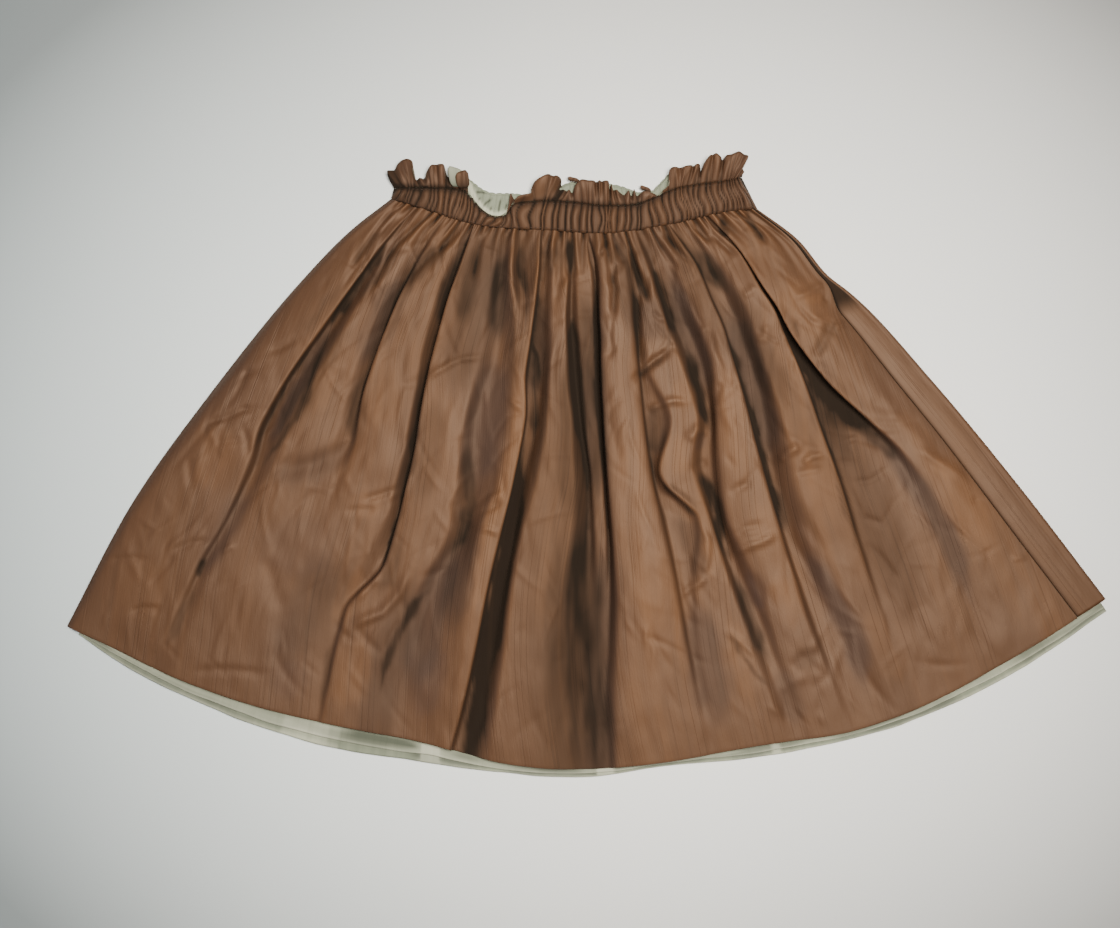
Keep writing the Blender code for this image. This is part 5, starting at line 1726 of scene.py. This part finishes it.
    def front_ruffle(self) -> bpy.types.Object:
        """Front ruffle: from the casing's upper edge to its own waved free edge, sage inside.

        Returns:
            The piece.
        """
        s = np.linspace(0.0, 1.0, self.ruffle_columns)
        s = np.sort(np.concatenate([s, np.asarray(self.ruffle_edge)[:, 0]]))
        edge = smooth(self.ruffle_edge, s)
        root = smooth(self.casing_top, s)
        turn = self.turned(s)
        rib = self.rib(s, 0.0)
        rise = self.casing_level - self.root_drop + self.root_rise * rib - self.end_level
        root_level = self.end_level + rise * turn
        sections, flats, tones = [], [], []
        for fraction in np.linspace(1.0, 0.0, self.ruffle_rows):
            xy = between(root, edge[:, :2], fraction, low_gap=self.root_gap)
            bulge = self.ruffle_bulge * np.sin(np.pi * fraction) * turn
            pleat = self.ruffle_pleat * (self.rib(s, 0.2 + 0.3 * fraction) - 0.5)
            pleat = pleat * np.sin(np.pi * fraction) ** 0.5
            level = root_level + (edge[:, 2] - root_level) * ease(fraction) + bulge + pleat * turn
            sections.append(in_frame(xy, np.maximum(level, self.lowest_ruffle)))
            flats.append(self.fabric(s, self.casing_height + fraction * self.ruffle_height))
            # Painted shade where the free edge lies low, between the ribs and along the root, and darker at
            # the left end; painted light where the free edge stands high.
            low_part = ease((6.4 - edge[:, 2]) / 3.4)
            dark = 0.75 * low_part + 0.6 * ease((0.55 - rib) / 0.5) * (1 - 0.6 * fraction)
            dark += 0.6 * self.seam_shade(s) * ease((0.25 - fraction) / 0.2) + 0.7 * ease((0.028 - s) / 0.01)
            tones.append(np.stack([dark, 0.30 + 0 * s, 0.5 * ease((edge[:, 2] - 8) / 3) * fraction], axis=1))
        sides = [self.wardrobe.cloth(LEATHER), self.wardrobe.cloth(LINING)]
        made = Cloth.piece("front_ruffle_cloth", np.array(sections), np.array(flats), sides, self.thin_wall,
                           np.array(tones))
        tie(made, "front_ruffle")
        return made

    def leaf(self, leaf: Leaf) -> bpy.types.Object:
        """Small curled leaf of the ruffle: its four corners blended, with a bulge across.

        Args:
            leaf: its sizes and its finish.

        Returns:
            The piece.
        """
        across, down = np.meshgrid(np.linspace(0, 1, 13), np.linspace(0, 1, 9))
        a, b, c, d = np.asarray(leaf.corners, dtype=float)
        across, down = across[..., None], down[..., None]
        xy = (1 - down) * ((1 - across) * a + across * b) + down * ((1 - across) * d + across * c)
        corner = np.abs(2 * across - 1) ** 3 * np.abs(2 * down - 1) ** 3
        xy = xy + 0.22 * corner * (xy.mean(axis=(0, 1)) - xy)
        wave = leaf.bulge * np.sin(np.pi * across) * (0.4 + 0.6 * np.sin(np.pi * down * 0.8))
        ripple = 0.35 * np.sin(across * 11 + down * 2)
        upper, lower = leaf.levels
        height = (upper + (lower - upper) * down + wave + ripple)[..., 0]
        # Painted shade towards the lower edge; warmer towards the left side.
        tone = np.concatenate([leaf.dark * down ** 2 + 0.12, 0.2 + 0 * across, 0.5 * (1 - across)], axis=-1)
        flat = np.concatenate([across * 0.02, -down * 0.014], axis=-1)
        made = Cloth.piece(leaf.name, in_frame(xy, height), flat, [self.wardrobe.cloth(leaf.finish)],
                           self.leaf_wall, tone)
        return tie(made)

    def back_casing(self) -> bpy.types.Object:
        """Back casing, flat on the ground.

        Returns:
            The piece.
        """
        s = np.linspace(0.0, 1.0, self.back_columns)
        low, high = smooth(self.cut.waist, s), smooth(self.back_casing_top, s)
        sections, flats = [], []
        for fraction in np.linspace(1.0, 0.0, self.back_rows[0]):
            xy = between(low, high, fraction, self.seam_gap)
            sections.append(in_frame(xy, self.back_wall + self.back_rib * self.rib(s, fraction)))
            flats.append(self.fabric(s, fraction * self.casing_height))
        made = Cloth.piece("back_casing_cloth", np.array(sections), np.array(flats),
                           [self.wardrobe.cloth(LEATHER)], self.back_wall)
        return tie(made, "back_casing")

    def back_ruffle(self) -> bpy.types.Object:
        """Back ruffle with a scalloped free edge, sage on the side that faces up.

        Returns:
            The piece.
        """
        s = np.linspace(0.0, 1.0, self.ruffle_columns)
        low, high = smooth(self.back_casing_top, s), smooth(self.back_ruffle_top, s)
        rib = self.rib(s, 0.3)
        sections, flats = [], []
        for fraction in np.linspace(1.0, 0.0, self.back_rows[1]):
            xy = between(low, high, fraction, 2 * self.seam_gap, -0.8 * fraction * rib[:, None])
            sections.append(in_frame(xy, self.back_wall + self.back_rib * rib * fraction))
            flats.append(self.fabric(s, self.casing_height + fraction * self.ruffle_height))
        sides = [self.wardrobe.cloth(LINING), self.wardrobe.cloth(LEATHER)]
        made = Cloth.piece("back_ruffle_cloth", np.array(sections), np.array(flats), sides, self.back_wall)
        return tie(made, "back_ruffle")

    def heading(self) -> bpy.types.Object:
        """Sage heading inside the back waist, which shows in the casing's dip.

        Returns:
            The piece.
        """
        s = np.linspace(0.03, 0.97, self.heading_columns)
        low, high = smooth(self.cut.waist, s), smooth(self.back_ruffle_top, s)
        fractions = np.linspace(1.0, 0.0, self.heading_rows)
        xy = np.stack([between(low, high, fraction, self.seam_gap, 1.2) for fraction in fractions])
        ribs = np.stack([self.rib(s, 1 - f) * ease(np.array(f * 4)) for f in fractions])
        level = self.heading_level + 1.0 + 0.7 * ribs
        tone = np.zeros(xy.shape[:2] + (3,))
        # Painted shade between the ribs and in the creases; the rim is raised, paler and warmer.
        tone[..., 0] = 0.30 * ease((0.4 - ribs) / 0.4)
        for crease in self.heading_creases:
            near, strength = stroke(np.array(crease), xy, 0.75, 0.75, 0.3)
            level[near] -= 0.6 * strength
            tone[near, 0] += 0.9 * strength
        near, strength = stroke(np.array(self.rim), xy, 2.0, 2.0, 0.6)
        tone[near, 2] += 1.5 * strength
        tone[near, 0] *= 1 - strength
        level[near] += 0.5 * strength
        whole = self.casing_height + self.ruffle_height
        flat = np.stack([self.fabric(s, fraction * whole) for fraction in fractions])
        made = Cloth.piece("back_heading_cloth", in_frame(xy, level), flat, [self.wardrobe.cloth(LINING)],
                           self.heading_wall, tone)
        return tie(made, "back_lining_heading")

    def build(self) -> List[bpy.types.Object]:
        """All pieces of the waist, back ones first."""
        return [self.back_casing(), self.back_ruffle(), self.heading(), self.front_casing(),
                self.front_ruffle(), *(self.leaf(leaf) for leaf in self.leaves)]


@dataclass
class Stitching:
    """Rows of small stitches: each a rounded bar of thread that dips into the cloth at its ends.

    The rows are named, with the share up the casing at which each lies. The rings of a stitch stand
    at the shares of its length, and each has its size and its lift as shares of the thread's radius.
    """

    waist: Waist
    wardrobe: Wardrobe
    rows: Tuple[Tuple[str, float], ...] = (("casing_lower_stitches", 0.09), ("casing_upper_stitches", 0.91))
    points: int = 300
    length: float = 2.0
    pitch: float = 3.2
    radius: float = 0.22
    shares: Tuple[float, ...] = (0.0, 0.15, 0.5, 0.85, 1.0)
    sizes: Tuple[float, ...] = (0.05, 0.8, 1.0, 0.8, 0.05)
    lifts: Tuple[float, ...] = (-1.0, 0.2, 0.7, 0.2, -1.0)
    corners: int = 6

    def row(self, name: str, path: np.ndarray) -> bpy.types.Object:
        """One row of stitches along a path.

        Each stitch is a tube of rings about its own middle line, bent down by the thread's
        thickness at both ends, and its end rings are drawn in to close it.

        Args:
            name: the piece's name.
            path: points in metres, whose heights lie on the cloth.

        Returns:
            The piece.
        """
        run = np.concatenate([[0.0], np.cumsum(np.linalg.norm(np.diff(path, axis=0), axis=1))])
        starts = np.arange(self.pitch, run[-1] / MM - self.pitch, self.pitch) * MM
        at = starts[:, None] + np.array(self.shares) * self.length * MM
        centre = np.stack([np.interp(at, run, column) for column in path.T], axis=-1)
        centre[..., 2] += self.radius * MM * np.array(self.lifts)
        along = centre[:, -1] - centre[:, 0]
        along /= np.linalg.norm(along, axis=1, keepdims=True)
        aside = np.stack([-along[:, 1], along[:, 0], 0 * along[:, 0]], axis=1)
        up = np.cross(along, aside)
        angle = (np.arange(self.corners) * 2 * np.pi / self.corners)[:, None]
        ring = np.cos(angle) * aside[:, None, None, :] + np.sin(angle) * up[:, None, None, :]
        size = self.radius * MM * np.array(self.sizes)
        points = centre[:, :, None, :] + size[None, :, None, None] * ring
        index = np.arange(points.size // 3).reshape(points.shape[:3])
        turned = np.roll(index, -1, axis=2)
        faces = np.stack([index[:, :-1], turned[:, :-1], turned[:, 1:], index[:, 1:]], axis=-1).reshape(-1, 4)
        caps = np.concatenate([index[:, 0, ::-1], index[:, -1]])
        mesh = bpy.data.meshes.new(name)
        mesh.from_pydata(points.reshape(-1, 3), [], faces.tolist() + caps.tolist())
        mesh.shade_smooth()
        mesh.materials.append(self.wardrobe.plain(THREAD))
        made = bpy.data.objects.new(name, mesh)
        bpy.context.scene.collection.objects.link(made)
        return tie(made)

    def build(self) -> List[bpy.types.Object]:
        """Stitches along both edges of the casing."""
        s = np.linspace(0.03, 0.97, self.points)
        return [self.row(name, self.waist.casing(s, fraction)[0]) for name, fraction in self.rows]


@dataclass
class Studio:
    """Floor, lights and camera, straight above the skirt as in the photograph."""

    wardrobe: Wardrobe
    camera_place: Place = (-0.019, 0.0005, 1.3)
    lens: float = 59.7
    floor_size: float = 3.0
    floor_level: float = -0.0002
    floor_half: Tuple[float, float] = (0.36, 0.29)
    key_place: Place = (0.24, 0.17, 1.4)
    key_spread: float = 1.08
    key_energy: float = 7.1
    key_size: float = 0.7
    key_colour: Colour = (1.0, 0.95, 0.88)
    fill_place: Place = (-1.6, -0.1, 0.7)
    fill_energy: float = 4.5
    fill_size: float = 0.9
    fill_colour: Colour = (0.78, 0.86, 1.0)
    world_colour: Colour = (0.86, 0.90, 0.95)
    world_strength: float = 0.06

    def light(self, name: str, place: Place, size: float, energy: float, colour: Colour,
              spread: float = np.pi) -> None:
        """Square area light, turned to the skirt's middle.

        Args:
            name: its name.
            place: where it stands, in metres.
            size: length of its side in metres.
            energy: its power in watts.
            colour: its colour.
            spread: angle over which it shines, in radians.
        """
        data = bpy.data.lights.new(name, "AREA")
        data.size = size
        data.energy = energy
        data.color = colour
        data.spread = spread
        made = bpy.data.objects.new(name, data)
        made.location = place
        made.rotation_euler = (-made.location).to_track_quat("-Z", "Y").to_euler()
        bpy.context.scene.collection.objects.link(made)

    def build(self) -> None:
        """Floor, key light overhead, cool fill from the left, dim world, and the camera."""
        half = self.floor_size / 2
        ticks = np.linspace(-half, half, 9)
        x, y = np.meshgrid(ticks, ticks[::-1])
        grid = np.stack([x, y, np.full_like(x, self.floor_level)], axis=-1)
        # The floor's colour holds a painted pool of light round the skirt.
        floor = Cloth.piece("floor", grid, grid[..., :2], [self.wardrobe.plain(FLOOR, self.floor_half)])
        self.light("key", self.key_place, self.key_size, self.key_energy, self.key_colour, self.key_spread)
        self.light("fill", self.fill_place, self.fill_size, self.fill_energy, self.fill_colour)
        world = bpy.data.worlds.new("studio air")
        world.use_nodes = True
        background = world.node_tree.nodes["Background"]
        background.inputs["Color"].default_value = (*self.world_colour, 1.0)
        background.inputs["Strength"].default_value = self.world_strength
        bpy.context.scene.world = world
        data = bpy.data.cameras.new("camera")
        data.lens = self.lens
        camera = bpy.data.objects.new("camera", data)
        camera.location = self.camera_place
        bpy.context.scene.collection.objects.link(camera)
        bpy.context.scene.camera = camera


def main() -> None:
    """Builds the skirt and its studio, and reports each piece."""
    logging.basicConfig(level=logging.INFO, format="%(name)s: %(message)s")
    wardrobe = Wardrobe()
    cut = Cut()
    pieces = [BackPanel(cut, wardrobe).build()]
    pieces.append(Lining(cut, wardrobe, "back_lining_cloth", "back_lining", 1.3, 3, LINING, 41,
                         "back_panel").build())
    pieces.append(Lining(cut, wardrobe, "front_lining_cloth", "front_lining", 2.6, 2, CREAM, 43,
                         "back_lining").build())
    pieces.append(FrontPanel(cut, wardrobe).build())
    waist = Waist(cut, wardrobe)
    pieces.extend(waist.build())
    pieces.extend(Stitching(waist, wardrobe).build())
    Studio(wardrobe).build()
    for piece in pieces:
        LOG.info("%s: %d faces", piece.name, len(piece.data.polygons))


if __name__ == "__main__":
    main()
